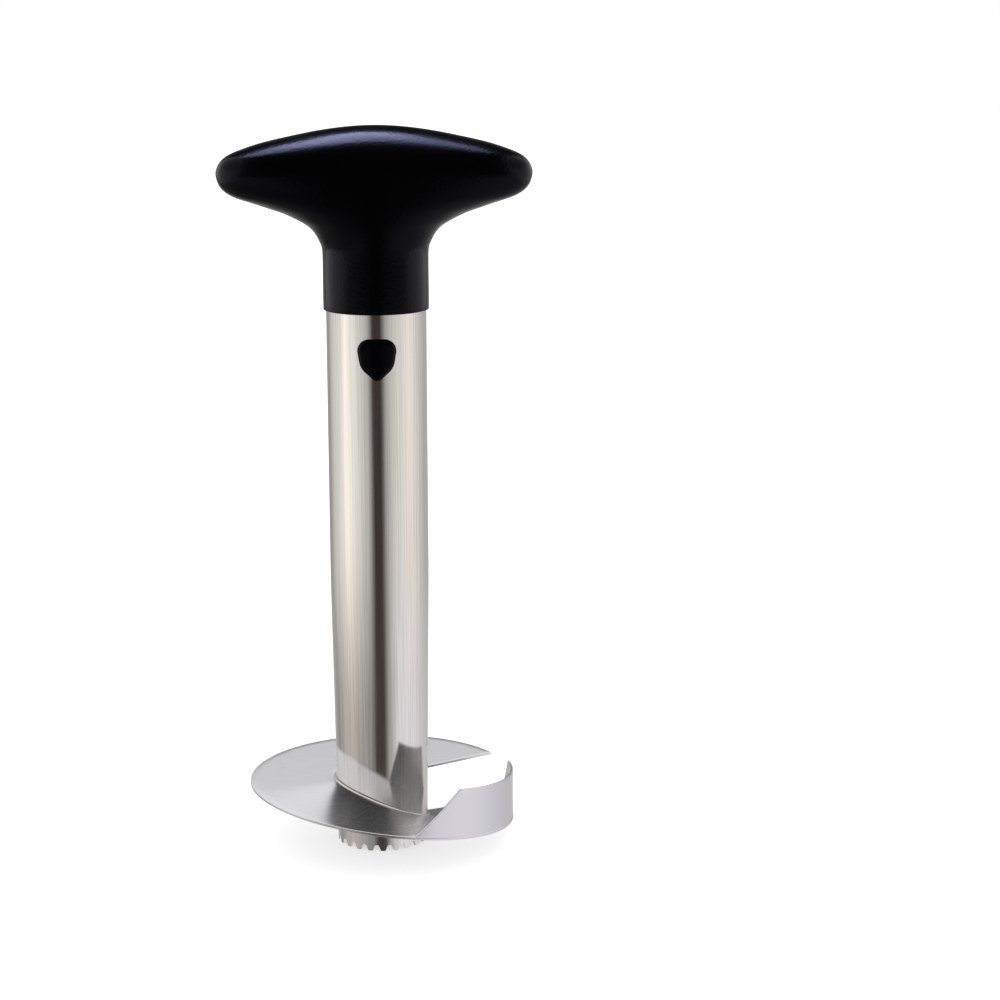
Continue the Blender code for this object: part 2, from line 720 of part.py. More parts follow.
def build_spring(name, side, parts):
    """Compression spring between the web and a button's flange, round its peg."""
    start = WEB_THICKNESS / 2 + SEAT_GAP + SPRING_WIRE_RADIUS
    end = FLANGE_INNER - SEAT_GAP - SPRING_WIRE_RADIUS
    count = SPRING_TURNS * SPRING_POINTS_PER_TURN + 1
    curve = bpy.data.curves.new(name, "CURVE")
    curve.dimensions = "3D"
    curve.bevel_depth = SPRING_WIRE_RADIUS
    curve.bevel_resolution = 1
    curve.use_fill_caps = True
    curve.resolution_u = 1
    curve.render_resolution_u = 0
    spline = curve.splines.new("POLY")
    spline.points.add(count - 1)
    for index, point in enumerate(spline.points):
        share = index / (count - 1)
        turn = 2.0 * math.pi * SPRING_TURNS * share
        x = SPRING_COIL_RADIUS * math.cos(turn)
        z = SPRING_COIL_RADIUS * math.sin(turn)
        point.co = (x, side * (start + (end - start) * share), z, 1.0)
    spring = add_object(name, curve, parts)
    spring.location = (0.0, 0.0, BUTTON_HEIGHT)
    zinc_steel(spring)
    pitch = (end - start) / SPRING_TURNS
    print(name, "gap between coils in mm:", round((pitch - 2 * SPRING_WIRE_RADIUS) * 1000, 2))


def main():
    """Build every piece of the slicer."""
    clear_scene()
    parts = add_collection("pineapple_slicer")
    tools = add_collection("cutters")
    build_core_tube(parts, tools)
    build_slicing_disc(parts)
    build_side_blade(parts)
    build_handle(parts, tools)
    build_latch_housing(parts, tools)
    build_latch_cover(parts)
    build_screws(parts, tools)
    for name, side in (("front", -1), ("rear", 1)):
        build_button(name + "_button", side, parts, tools)
        build_spring(name + "_button_spring", side, parts)


main()
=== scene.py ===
"""Looks of the hand-turned pineapple slicer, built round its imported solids.

Metres, +Z up. The origin lies on the core tube's axis, in the plane of the tooth tips. The
handle's bar runs along X and the front button faces -Y. Angles round the blade and round the
studio are degrees from the front, positive towards +X.
"""
from __future__ import annotations

import json
import logging
import math
from dataclasses import dataclass, field
from enum import Enum
from typing import Callable

import bmesh
import bpy
from bmesh.types import BMEdge, BMesh
from bpy.types import Curve, Material, Mesh, Node, NodeSocket, NodeTree, Object
from mathutils import Matrix, Vector

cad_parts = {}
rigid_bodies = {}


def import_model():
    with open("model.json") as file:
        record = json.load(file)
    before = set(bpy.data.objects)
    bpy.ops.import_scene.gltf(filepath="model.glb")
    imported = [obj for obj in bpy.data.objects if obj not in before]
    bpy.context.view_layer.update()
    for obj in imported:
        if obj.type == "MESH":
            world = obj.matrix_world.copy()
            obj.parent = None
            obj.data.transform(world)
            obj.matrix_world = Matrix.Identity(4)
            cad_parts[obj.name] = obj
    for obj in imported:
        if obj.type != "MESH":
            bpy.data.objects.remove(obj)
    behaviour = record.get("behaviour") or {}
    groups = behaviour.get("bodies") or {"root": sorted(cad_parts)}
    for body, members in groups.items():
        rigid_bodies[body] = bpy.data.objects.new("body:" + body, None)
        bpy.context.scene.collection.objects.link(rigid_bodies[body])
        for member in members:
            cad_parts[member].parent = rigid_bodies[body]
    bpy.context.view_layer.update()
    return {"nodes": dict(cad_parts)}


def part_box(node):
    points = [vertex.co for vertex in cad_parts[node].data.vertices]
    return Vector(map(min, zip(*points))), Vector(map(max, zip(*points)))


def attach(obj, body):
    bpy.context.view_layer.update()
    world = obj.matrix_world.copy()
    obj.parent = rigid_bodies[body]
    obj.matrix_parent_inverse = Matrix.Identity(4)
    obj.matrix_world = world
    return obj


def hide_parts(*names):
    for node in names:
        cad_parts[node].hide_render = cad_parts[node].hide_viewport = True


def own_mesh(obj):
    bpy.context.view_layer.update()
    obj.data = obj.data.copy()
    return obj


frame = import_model()

log = logging.getLogger("pineapple_slicer")

# One millimetre
MM = 0.001
# Clearance between neighbouring pieces
SEAT_GAP = 0.3 * MM
# How far a cutting tool runs past what it cuts
OVERRUN = 2.0 * MM
# Points closer together than this are one point
MERGE_DISTANCE = 0.001 * MM
# Edges that turn by more than this stay sharp
SHARP_ANGLE = math.radians(32.0)
# Sides of the screws and of their holes
ROUND_STEPS = 48
# Points between the quarters of a wire's outline
WIRE_STEPS = 3
WHITE = (1.0, 1.0, 1.0, 1.0)

Pair = tuple[float, float]
Triple = tuple[float, float, float]
# Gives x and z at an angle
Outline = Callable[[float], Pair]


class Body(Enum):
    """The slicer's moving bodies."""

    SLICER = "slicer"
    FRONT_BUTTON = "front_button"
    REAR_BUTTON = "rear_button"


class Side(Enum):
    """Which way along Y a mirrored piece faces."""

    FRONT = -1
    REAR = 1


class Joining(Enum):
    """How a tool changes a piece."""

    UNION = "UNION"
    DIFFERENCE = "DIFFERENCE"
    INTERSECT = "INTERSECT"


def linear(hex_colour: str) -> tuple[float, float, float, float]:
    """Turn an sRGB colour into a linear one.

    Args:
        hex_colour: the colour as "#rrggbb".

    Returns:
        Red, green, blue and an alpha of 1.
    """
    shares = [int(hex_colour[start:start + 2], 16) / 255.0 for start in (1, 3, 5)]
    red, green, blue = (share / 12.92 if share <= 0.04045 else ((share + 0.055) / 1.055) ** 2.4
                        for share in shares)
    return red, green, blue, 1.0


def feed(node: Node, inputs: dict) -> None:
    """Set a node's inputs.

    Args:
        node: the node.
        inputs: for each input's name or number, its value, or the socket that feeds it, or
            the node whose first socket does.
    """
    for key, value in inputs.items():
        source = value.outputs[0] if isinstance(value, Node) else value
        if isinstance(source, NodeSocket):
            node.id_data.links.new(source, node.inputs[key])
        else:
            node.inputs[key].default_value = source


def add_node(tree: NodeTree, kind: str, inputs: dict | None = None, **settings: object) -> Node:
    """Add a node with its settings, its values and its links.

    Args:
        tree: the node tree.
        kind: the node's type.
        inputs: the node's inputs, as feed takes them.
        **settings: the node's own properties.

    Returns:
        The new node.
    """
    node = tree.nodes.new(kind)
    for name, value in settings.items():
        setattr(node, name, value)
    feed(node, inputs or {})
    return node


def new_material(name: str) -> tuple[Material, Node]:
    """Start a material.

    Args:
        name: the material's name.

    Returns:
        The material and its Principled shader.
    """
    material = bpy.data.materials.new(name)
    material.use_nodes = True
    return material, material.node_tree.nodes["Principled BSDF"]


@dataclass(frozen=True)
class Marks:
    """Uneven marks: their lengths along X, Y and Z, and how many layers of finer ones they hold."""

    size: Triple
    detail: float

    def spread(self, tree: NodeTree) -> Node:
        """Spread the marks over a surface.

        Args:
            tree: the material's node tree.

        Returns:
            The node that gives them, from 0 to 1.
        """
        place = add_node(tree, "ShaderNodeTexCoord")
        scaled = add_node(tree, "ShaderNodeMapping", {
            "Vector": place.outputs["Object"], "Scale": [1.0 / side for side in self.size]})
        return add_node(tree, "ShaderNodeTexNoise", {
            "Vector": scaled, "Scale": 1.0, "Detail": self.detail})


@dataclass(frozen=True)
class Finish:
    """What the finishes share: marks in two tones, an uneven roughness and a relief."""

    name: str
    low_tone: str
    high_tone: str
    marks: Marks
    roughness: float
    relief_depth: float
    relief_strength: float = 0.5
    roughness_spread: float = 0.0
    # Between these values of its marks the roughness changes, and a sharp tone with it
    middle: Pair = (0.25, 0.75)
    sharp_tone: bool = False
    # Reflections are drawn out round Z
    round_z: bool = False
    # The roughness and the relief follow the marks of the tone, or marks of their own
    gloss_marks: Marks | None = None
    relief_marks: Marks | None = None
    # What is the same all over
    fixed: tuple[tuple[str, object], ...] = (("Metallic", 1.0),)

    def build(self) -> Material:
        """Make the material.

        Returns:
            The material.
        """
        material, shader = new_material(self.name)
        tree = material.node_tree
        marks = self.marks.spread(tree)
        gloss = self.gloss_marks.spread(tree) if self.gloss_marks else marks
        relief = self.relief_marks.spread(tree) if self.relief_marks else marks
        low, high = self.middle
        if self.sharp_tone:
            marks = add_node(tree, "ShaderNodeMapRange", {
                "Value": marks, "From Min": low, "From Max": high},
                interpolation_type="SMOOTHSTEP")
        # A mix of colours takes its share in socket 0 and the colours in 6 and 7
        tone = add_node(tree, "ShaderNodeMix", {
            0: marks, 6: linear(self.low_tone), 7: linear(self.high_tone)}, data_type="RGBA")
        bump = add_node(tree, "ShaderNodeBump", {
            "Height": relief, "Strength": self.relief_strength, "Distance": self.relief_depth})
        feed(shader, {"Base Color": tone.outputs[2], "Normal": bump,
                      "Roughness": self.roughness, **dict(self.fixed)})
        if self.roughness_spread:
            feed(shader, {"Roughness": add_node(tree, "ShaderNodeMapRange", {
                "Value": gloss, "From Min": low, "From Max": high, "To Min": self.roughness,
                "To Max": self.roughness + self.roughness_spread},
                interpolation_type="SMOOTHSTEP")})
        if self.round_z:
            feed(shader, {"Tangent": add_node(
                tree, "ShaderNodeTangent", direction_type="RADIAL", axis="Z")})
        return material


@dataclass(frozen=True)
class BrushedSteel(Finish):
    """Stainless steel 1.4301, drawn and brushed: fine streaks one way, soft long reflections."""

    low_tone: str = "#d9d6d2"
    high_tone: str = "#eae7e3"
    # The brush's scratches are about 0.05 mm apart, and drawn coarser so that they show
    marks: Marks = Marks((0.45 * MM, 0.45 * MM, 60.0 * MM), 3.0)
    roughness: float = 0.085
    roughness_spread: float = 0.05
    relief_depth: float = 0.001 * MM
    middle: Pair = (0.3, 0.7)
    sharp_tone: bool = True
    round_z: bool = True
    fixed: tuple[tuple[str, object], ...] = (("Metallic", 1.0), ("Anisotropic", 0.6))


@dataclass(frozen=True)
class RolledSteel(Finish):
    """Cold-rolled stainless sheet: a faint grain the way it was rolled, waves from the press."""

    low_tone: str = "#dddce0"
    high_tone: str = "#e2e1e4"
    # The roll's marks are about 0.1 mm wide, and drawn coarser so that they show
    marks: Marks = Marks((9.0 * MM, 0.40 * MM, 0.40 * MM), 1.0)
    roughness: float = 0.27
    roughness_spread: float = 0.03
    relief_marks: Marks = Marks((22.0 * MM, 22.0 * MM, 22.0 * MM), 0.0)
    relief_depth: float = 0.04 * MM


@dataclass(frozen=True)
class MouldedPlastic(Finish):
    """Black ABS out of a spark-eroded mould: a very fine grain that softens its highlights."""

    low_tone: str = "#010102"
    high_tone: str = "#040405"
    # The grain is about 0.2 mm wide, and drawn coarser so that it shows
    marks: Marks = Marks((1.0 * MM, 1.0 * MM, 1.0 * MM), 1.0)
    gloss_marks: Marks = Marks((18.0 * MM, 18.0 * MM, 18.0 * MM), 3.0)
    roughness: float = 0.19
    roughness_spread: float = 0.05
    relief_depth: float = 0.10 * MM
    relief_strength: float = 0.6
    # The eroded grain traps most of what smooth plastic reflects
    fixed: tuple[tuple[str, object], ...] = (
        ("IOR", 1.53), ("Specular IOR Level", 0.08), ("Specular Tint", linear("#e2e5ff")))


@dataclass(frozen=True)
class WeldMetal(Finish):
    """Stainless weld bead, brushed after welding: duller and slightly straw-coloured."""

    low_tone: str = "#d6d4d0"
    high_tone: str = "#c9c2b4"
    marks: Marks = Marks((1.2 * MM, 1.2 * MM, 1.2 * MM), 2.0)
    roughness: float = 0.36
    relief_depth: float = 0.05 * MM
    relief_strength: float = 0.6


def resharpened(mesh: Mesh) -> Mesh:
    """Shade a mesh smooth, with its sharp edges kept."""
    mesh.shade_smooth()
    mesh.set_sharp_from_angle(angle=SHARP_ANGLE)
    return mesh


def to_mesh(name: str, bm: BMesh, outward: bool = True) -> Mesh:
    """Turn a bmesh into a smooth-shaded mesh.

    Args:
        name: the mesh's name.
        bm: the bmesh, which is freed.
        outward: whether its faces are turned outwards first.

    Returns:
        The mesh.
    """
    if outward:
        bmesh.ops.recalc_face_normals(bm, faces=bm.faces)
    mesh = bpy.data.meshes.new(name)
    bm.to_mesh(mesh)
    bm.free()
    return resharpened(mesh)


def loose_object(data: Mesh | Curve) -> Object:
    """Put a mesh or a curve in the scene under its own name."""
    item = bpy.data.objects.new(data.name, data)
    bpy.context.scene.collection.objects.link(item)
    return item


def add_modifier(item: Object, kind: str, **settings: object) -> None:
    """Add a modifier.

    Args:
        item: the object that it works on.
        kind: the modifier's type.
        **settings: its properties.
    """
    modifier = item.modifiers.new(kind.title(), kind)
    for name, value in settings.items():
        setattr(modifier, name, value)


def evaluated(item: Object) -> Mesh:
    """Apply an object's modifiers and remove the object.

    Args:
        item: an object that stands at the origin, unturned and unscaled.

    Returns:
        The finished mesh.
    """
    bpy.context.view_layer.update()
    graph = bpy.context.evaluated_depsgraph_get()
    mesh = bpy.data.meshes.new_from_object(item.evaluated_get(graph))
    bpy.data.objects.remove(item)
    return mesh


def joined(mesh: Mesh, tool: Mesh, joining: Joining = Joining.DIFFERENCE) -> Mesh:
    """Join, cut or intersect a mesh with a tool.

    Args:
        mesh: the piece.
        tool: the tool's mesh.
        joining: what the tool does.

    Returns:
        The new mesh.
    """
    piece, cutter = loose_object(mesh), loose_object(tool)
    add_modifier(piece, "BOOLEAN", operation=joining.value, solver="EXACT", object=cutter)
    result = evaluated(piece)
    bpy.data.objects.remove(cutter)
    return result


def settle(name: str, mesh: Mesh, slot: str, material: Material, *nodes: str,
           body: Body = Body.SLICER) -> Object:
    """Make a finished piece and say what it is.

    Args:
        name: the piece's name.
        mesh: its mesh, in place.
        slot: not used.
        material: its finish.
        *nodes: the solids that it stands for.
        body: the body that it moves with.

    Returns:
        The piece.
    """
    mesh.materials.clear()
    mesh.materials.append(material)
    mesh.name = name
    item = loose_object(mesh)
    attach(item, body.value)
    if nodes:
        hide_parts(*nodes)
    log.info("%s: %d faces, on %s", name, len(mesh.polygons), body.value)
    return item


def dress(node: str, material: Material) -> None:
    """Give a solid that stays its finish.

    Args:
        node: the solid's name.
        material: its finish.
    """
    item = frame["nodes"][node]
    if not item.material_slots:
        item.data.materials.append(material)
    for place in item.material_slots:
        place.material = material
    log.info("%s: kept, with the finish %s", node, material.name)


def add_ring(bm: BMesh, segments: int, place: Callable[[float], Vector]) -> list[BMEdge]:
    """Add a closed ring of edges.

    Args:
        bm: the bmesh.
        segments: the ring's number of corners.
        place: gives the corner at each angle, in radians.

    Returns:
        The ring's edges.
    """
    corners = bmesh.ops.create_circle(bm, segments=segments, radius=1.0)["verts"]
    for vert in corners:
        vert.co = place(math.atan2(vert.co.y, vert.co.x))
    return list(dict.fromkeys(edge for vert in corners for edge in vert.link_edges))


def bridge(bm: BMesh, rings: list[list[BMEdge]]) -> None:
    """Join each ring to the next."""
    for ring, after in zip(rings, rings[1:]):
        bmesh.ops.bridge_loops(bm, edges=ring + after)


def turned(name: str, profile: list[Pair], steps: int) -> Mesh:
    """Turn a profile round Z.

    Args:
        name: the mesh's name.
        profile: radii and heights, from pole to pole or back to the first point.
        steps: the number of sides.

    Returns:
        The turned mesh.
    """
    bm = bmesh.new()
    corners = [bm.verts.new((radius, 0.0, height)) for radius, height in profile]
    edges = [bm.edges.new(pair) for pair in zip(corners, corners[1:])]
    bmesh.ops.spin(
        bm, geom=corners + edges, cent=(0.0, 0.0, 0.0), axis=(0.0, 0.0, 1.0), angle=math.tau,
        steps=steps, use_merge=True)
    bmesh.ops.remove_doubles(bm, verts=bm.verts, dist=MERGE_DISTANCE)
    # A spin leaves its faces in no fixed order, and cuts would then differ from run to run
    for items, key in ((bm.verts, lambda vert: tuple(vert.co)),
                       (bm.faces, lambda face: sorted(vert.index for vert in face.verts))):
        for index, item in enumerate(sorted(items, key=key)):
            item.index = index
        items.sort()
    return to_mesh(name, bm)


def add_cylinder(bm: BMesh, radius: float, start: Vector, end: Vector) -> None:
    """Add a capped cylinder between two points.

    Args:
        bm: the bmesh.
        radius: the cylinder's radius.
        start: the centre of one end.
        end: the centre of the other.
    """
    along = end - start
    turn = Vector((0.0, 0.0, 1.0)).rotation_difference(along).to_matrix().to_4x4()
    bmesh.ops.create_cone(
        bm, cap_ends=True, segments=ROUND_STEPS, radius1=radius, radius2=radius,
        depth=along.length, matrix=Matrix.Translation((start + end) / 2.0) @ turn)


def wire(radius: float, points: list[Vector]) -> Mesh:
    """Lay a round wire with closed ends through a row of points.

    Args:
        radius: the wire's radius.
        points: where its middle runs.

    Returns:
        The wire's mesh.
    """
    curve = bpy.data.curves.new("wire", "CURVE")
    curve.dimensions = "3D"
    curve.bevel_depth = radius
    curve.bevel_resolution = WIRE_STEPS
    curve.use_fill_caps = True
    curve.resolution_u = 1
    curve.render_resolution_u = 0
    spline = curve.splines.new("POLY")
    spline.points.add(len(points) - 1)
    for point, place in zip(spline.points, points):
        point.co = (*place, 1.0)
    bm = bmesh.new()
    bm.from_mesh(evaluated(loose_object(curve)))
    bmesh.ops.remove_doubles(bm, verts=bm.verts, dist=MERGE_DISTANCE)
    return to_mesh("wire", bm)


def around(radius: float, degrees: float, height: float) -> Vector:
    """Point at a radius, an angle from the front and a height."""
    turn = math.radians(degrees)
    return Vector((radius * math.sin(turn), -radius * math.cos(turn), height))


@dataclass
class Shield:
    """Outline of the buttons: the hull of two shoulder circles, a belly circle and a tip circle."""

    # x, z and radius of each circle
    circles: tuple[Triple, ...] = (
        (2.3 * MM, 2.8 * MM, 3.9 * MM), (-2.3 * MM, 2.8 * MM, 3.9 * MM),
        (0.0, 0.3 * MM, 5.75 * MM), (0.0, -4.45 * MM, 2.2 * MM))
    segments: int = 112

    def point(self, angle: float, margin: float) -> Pair:
        """Find a point of the outline, grown by a margin.

        Args:
            angle: the direction that the outline faces there, in radians from +X to +Z.
            margin: how far outside the outline.

        Returns:
            x and z from the button's centre.
        """
        across, up = math.cos(angle), math.sin(angle)
        x, z, radius = max(self.circles, key=lambda circle: (
            circle[0] * across + circle[1] * up + circle[2]))
        return x + (radius + margin) * across, z + (radius + margin) * up

    def bar(self, reach: float, height: float) -> Mesh:
        """Make a shield-shaped bar along Y.

        Args:
            reach: how far it runs to the front and to the rear.
            height: the height of its centre.

        Returns:
            The bar's mesh.
        """
        bm = bmesh.new()
        rings = []
        for y in (-reach, reach):
            def place(angle: float, y: float = y) -> Vector:
                """Corner of an end of the bar."""
                x, z = self.point(angle, 0.0)
                return Vector((x, y, height + z))

            rings.append(add_ring(bm, self.segments, place))
        bridge(bm, rings)
        for ring in rings:
            bmesh.ops.edgeloop_fill(bm, edges=ring)
        return to_mesh("shield_bar", bm)


@dataclass
class CoreTube:
    """Drawn steel tube with a toothed foot and a hole for each button."""

    steel: Material
    shield: Shield
    foot_radius: float = 15.0 * MM
    top_radius: float = 16.15 * MM
    taper_height: float = 90.0 * MM
    wall: float = 0.8 * MM
    tooth_count: int = 22
    tooth_depth: float = 2.0 * MM
    tooth_tip_width: float = 1.5 * MM
    gullet_width: float = 1.2 * MM
    gullet_round: float = 0.35 * MM
    gullet_round_steps: int = 4
    rim_round: float = 0.12 * MM
    rim_round_steps: int = 2
    facets_per_tooth: int = 16
    # Corners this near to the wall's true surface belong to it
    normal_reach: float = 0.01 * MM
    # The handle sits on the tube: the solids' gap there is closed to a seam this wide
    seam: float = 0.03 * MM
    height: float = field(default_factory=lambda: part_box("core_tube")[1].z)
    button_height: float = field(
        default_factory=lambda: sum(corner.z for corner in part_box("front_button")) / 2.0)

    def radius_at(self, height: float) -> float:
        """Outer radius at a height."""
        share = min(height / self.taper_height, 1.0)
        return self.foot_radius + (self.top_radius - self.foot_radius) * share

    def blank(self) -> Mesh:
        """Turn the plain tube.

        Returns:
            The tube's mesh, without its teeth and holes.
        """
        heights = (0.0, self.taper_height, self.height + SEAT_GAP - self.seam)
        outside = [(self.radius_at(height), height) for height in heights]
        inside = [(radius - self.wall, height) for radius, height in reversed(outside)]
        return turned("tube_blank", outside + inside + outside[:1],
                      self.tooth_count * self.facets_per_tooth)

    def gullets(self) -> Mesh:
        """Make the tool that cuts the gaps between the teeth.

        Returns:
            The tool's mesh: one block for each gap, with its roof's corners rounded.
        """
        bm = bmesh.new()
        pitch = math.tau * self.foot_radius / self.tooth_count
        flare = (pitch - self.tooth_tip_width - self.gullet_width) / self.tooth_depth
        inner = self.foot_radius - self.wall - OVERRUN
        outer = self.foot_radius + OVERRUN
        for tooth in range(self.tooth_count):
            corners = bmesh.ops.create_cube(bm, size=1.0)["verts"]
            roof = [vert for vert in corners if vert.co.z > 0.0]
            for vert in corners:
                height = self.tooth_depth if vert in roof else -OVERRUN
                width = self.gullet_width + flare * (self.tooth_depth - height)
                reach = outer if vert.co.y > 0.0 else inner
                vert.co = Vector((math.copysign(width / 2.0, vert.co.x), reach, height))
            radial = dict.fromkeys(
                edge for vert in roof for edge in vert.link_edges
                if all(end in roof for end in edge.verts)
                and abs(edge.verts[0].co.y - edge.verts[1].co.y) > self.wall)
            rounded = bmesh.ops.bevel(
                bm, geom=list(radial), offset=self.gullet_round,
                segments=self.gullet_round_steps, profile=0.5, affect="EDGES", material=-1)
            moved = dict.fromkeys(vert for vert in corners + rounded["verts"] if vert.is_valid)
            turn = Matrix.Rotation(math.tau * (tooth + 0.5) / self.tooth_count, 4, "Z")
            bmesh.ops.transform(bm, matrix=turn, verts=list(moved))
        return to_mesh("tooth_gullets", bm)

    def softened(self, mesh: Mesh) -> Mesh:
        """Round the edges of the holes, the teeth and the top.

        Args:
            mesh: the cut tube.

        Returns:
            The tube with softened edges.
        """
        item = loose_object(mesh)
        add_modifier(item, "BEVEL", width=self.rim_round, segments=self.rim_round_steps,
                     limit_method="ANGLE", angle_limit=SHARP_ANGLE)
        return self.true_normals(resharpened(evaluated(item)))

    def true_normals(self, mesh: Mesh) -> Mesh:
        """Point the normals of the tube's wall straight out, past the rounded edges.

        Args:
            mesh: the tube.

        Returns:
            The same mesh.
        """
        normals = []
        for face in mesh.polygons:
            corners = [mesh.vertices[index].co for index in face.vertices]
            depths = [self.radius_at(co.z) - math.hypot(co.x, co.y) for co in corners]
            for way, depth in ((1.0, 0.0), (-1.0, self.wall)):
                if max(abs(value - depth) for value in depths) < self.normal_reach:
                    normals += [Vector((co.x, co.y, 0.0)).normalized() * way for co in corners]
                    break
            else:
                normals += [Vector()] * len(corners)
        mesh.normals_split_custom_set(normals)
        return mesh

    def build(self) -> None:
        """Build the tube."""
        mesh = joined(self.blank(), self.gullets())
        holes = self.shield.bar(self.top_radius + OVERRUN, self.button_height)
        mesh = joined(mesh, holes)
        settle("tube_with_teeth", self.softened(mesh), "tube_steel", self.steel, "core_tube")


@dataclass
class SpiralBlade:
    """Pressed disc that ramps down to its cutting edge, with the side blade on its rim."""

    tube: CoreTube
    disc_steel: Material
    wall_steel: Material
    weld_metal: Material
    radius: float = 44.0 * MM
    sheet: float = 1.0 * MM
    edge_height: float = 6.5 * MM
    slice_thickness: float = 14.3 * MM
    edge_angle: float = 112.0
    ramp_turn: float = 185.0
    slit_turn: float = 9.0
    ground_width: float = 4.0 * MM
    ground_share: float = 0.2
    wall_height: float = 16.5 * MM
    wall_sheet: float = 0.8 * MM
    wall_tail_angle: float = 13.0
    wall_tail_rake: float = 22.0
    wall_edge_rake: float = 11.0
    edge_round: float = 0.22 * MM
    edge_round_steps: int = 3
    # Rims of the ground sheet that are thinner than this stay sharp
    least_rim: float = 0.66 * MM
    rim_ledge: float = 0.15 * MM
    weld_radius: float = 0.95 * MM
    # How far the bead's middle lies outside the tube
    weld_lift: float = 0.1425 * MM
    # Faces along and across each sheet
    disc_faces: tuple[int, int] = (240, 10)
    wall_faces: tuple[int, int] = (120, 14)
    weld_points: int = 150

    @property
    def tail_angle(self) -> float:
        """Angle of the disc's upper end."""
        return self.edge_angle + self.slit_turn - 360.0

    def height_at(self, angle: float) -> float:
        """Mid-plane height of the disc at an angle."""
        share = (angle - self.edge_angle + self.ramp_turn) / self.ramp_turn
        share = min(max(share, 0.0), 1.0)
        return self.edge_height + self.slice_thickness * (1.0 + math.cos(math.pi * share)) / 2.0

    def pressed(self, name: str, thickness: float, faces: tuple[int, int], turn: float,
                place: Callable[[float, float], Vector]) -> Mesh:
        """Warp a flat grid into a sheet with one ground edge and soft rims.

        Args:
            name: the mesh's name.
            thickness: the sheet's thickness.
            faces: how many faces it has along and across.
            turn: the degrees that it runs round the tube, up to its cutting edge.
            place: gives a point for the shares of the way along and across.

        Returns:
            The sheet's mesh.
        """
        bm = bmesh.new()
        bmesh.ops.create_grid(bm, x_segments=faces[0], y_segments=faces[1], size=0.5)
        shares = []
        for vert in bm.verts:
            along = vert.co.x + 0.5
            vert.co = place(along, vert.co.y + 0.5)
            to_edge = math.radians(turn * (1.0 - along)) * math.hypot(vert.co.x, vert.co.y)
            shares.append(min(to_edge / self.ground_width, 1.0))
        item = loose_object(to_mesh(name, bm, outward=False))
        group = item.vertex_groups.new(name="ground")
        for index, share in enumerate(shares):
            group.add([index], self.ground_share + (1.0 - self.ground_share) * share, "REPLACE")
        add_modifier(item, "SOLIDIFY", thickness=thickness, offset=0.0, use_even_offset=True,
                     vertex_group=group.name)
        bm = bmesh.new()
        bm.from_mesh(evaluated(item))
        bm.verts.ensure_lookup_table()
        # The sheet's second face repeats the grid's points in the same order
        depths = [(bm.verts[index].co - bm.verts[index + len(shares)].co).length
                  for index in range(len(shares))]
        rims = [edge for edge in bm.edges
                if edge.calc_face_angle(0.0) > SHARP_ANGLE
                and min(depths[vert.index % len(shares)] for vert in edge.verts)
                > self.least_rim]
        bmesh.ops.bevel(
            bm, geom=rims, offset=self.edge_round, segments=self.edge_round_steps, profile=0.5,
            affect="EDGES", clamp_overlap=True, material=-1)
        return to_mesh(name, bm, outward=False)

    def disc(self) -> Mesh:
        """Press the disc.

        Returns:
            The disc's mesh.
        """
        turn = self.edge_angle - self.tail_angle
        bore = self.tube.radius_at(self.edge_height + self.slice_thickness)

        def place(along: float, across: float) -> Vector:
            """Point of the disc for the shares of the way to its edge and to its rim."""
            angle = self.tail_angle + turn * along
            return around(bore + (self.radius - bore) * across, angle, self.height_at(angle))

        return self.pressed("disc", self.sheet, self.disc_faces, turn, place)

    def wall(self) -> Mesh:
        """Bend the side blade.

        Returns:
            The side blade's mesh.
        """
        radius = self.radius - self.wall_sheet / 2.0 - self.rim_ledge

        def place(along: float, across: float) -> Vector:
            """Find a point of the side blade.

            Args:
                along: the share of the way from its tail to its cutting edge.
                across: the share of the way up.

            Returns:
                The point.
            """
            tail = self.wall_tail_angle + self.wall_tail_rake * across
            edge = self.edge_angle - self.wall_edge_rake * across
            angle = tail + (edge - tail) * along
            return around(radius, angle, self.height_at(angle) + self.wall_height * across)

        return self.pressed("wall", self.wall_sheet, self.wall_faces,
                            self.edge_angle - self.wall_tail_angle, place)

    def weld(self) -> Mesh:
        """Lay the weld bead along the disc's bore.

        Returns:
            The bead's mesh.
        """
        points = []
        for index in range(self.weld_points):
            share = index / (self.weld_points - 1)
            angle = self.tail_angle + (self.edge_angle - self.tail_angle) * share
            height = self.height_at(angle)
            points.append(around(self.tube.radius_at(height) + self.weld_lift, angle, height))
        return wire(self.weld_radius, points)

    def build(self) -> None:
        """Build the disc, the side blade and the weld."""
        settle("spiral_disc", self.disc(), "disc_steel", self.disc_steel, "slicing_disc")
        settle("side_wall", self.wall(), "side_blade_steel", self.wall_steel, "side_blade")
        settle("disc_weld", self.weld(), "disc_steel", self.weld_metal)


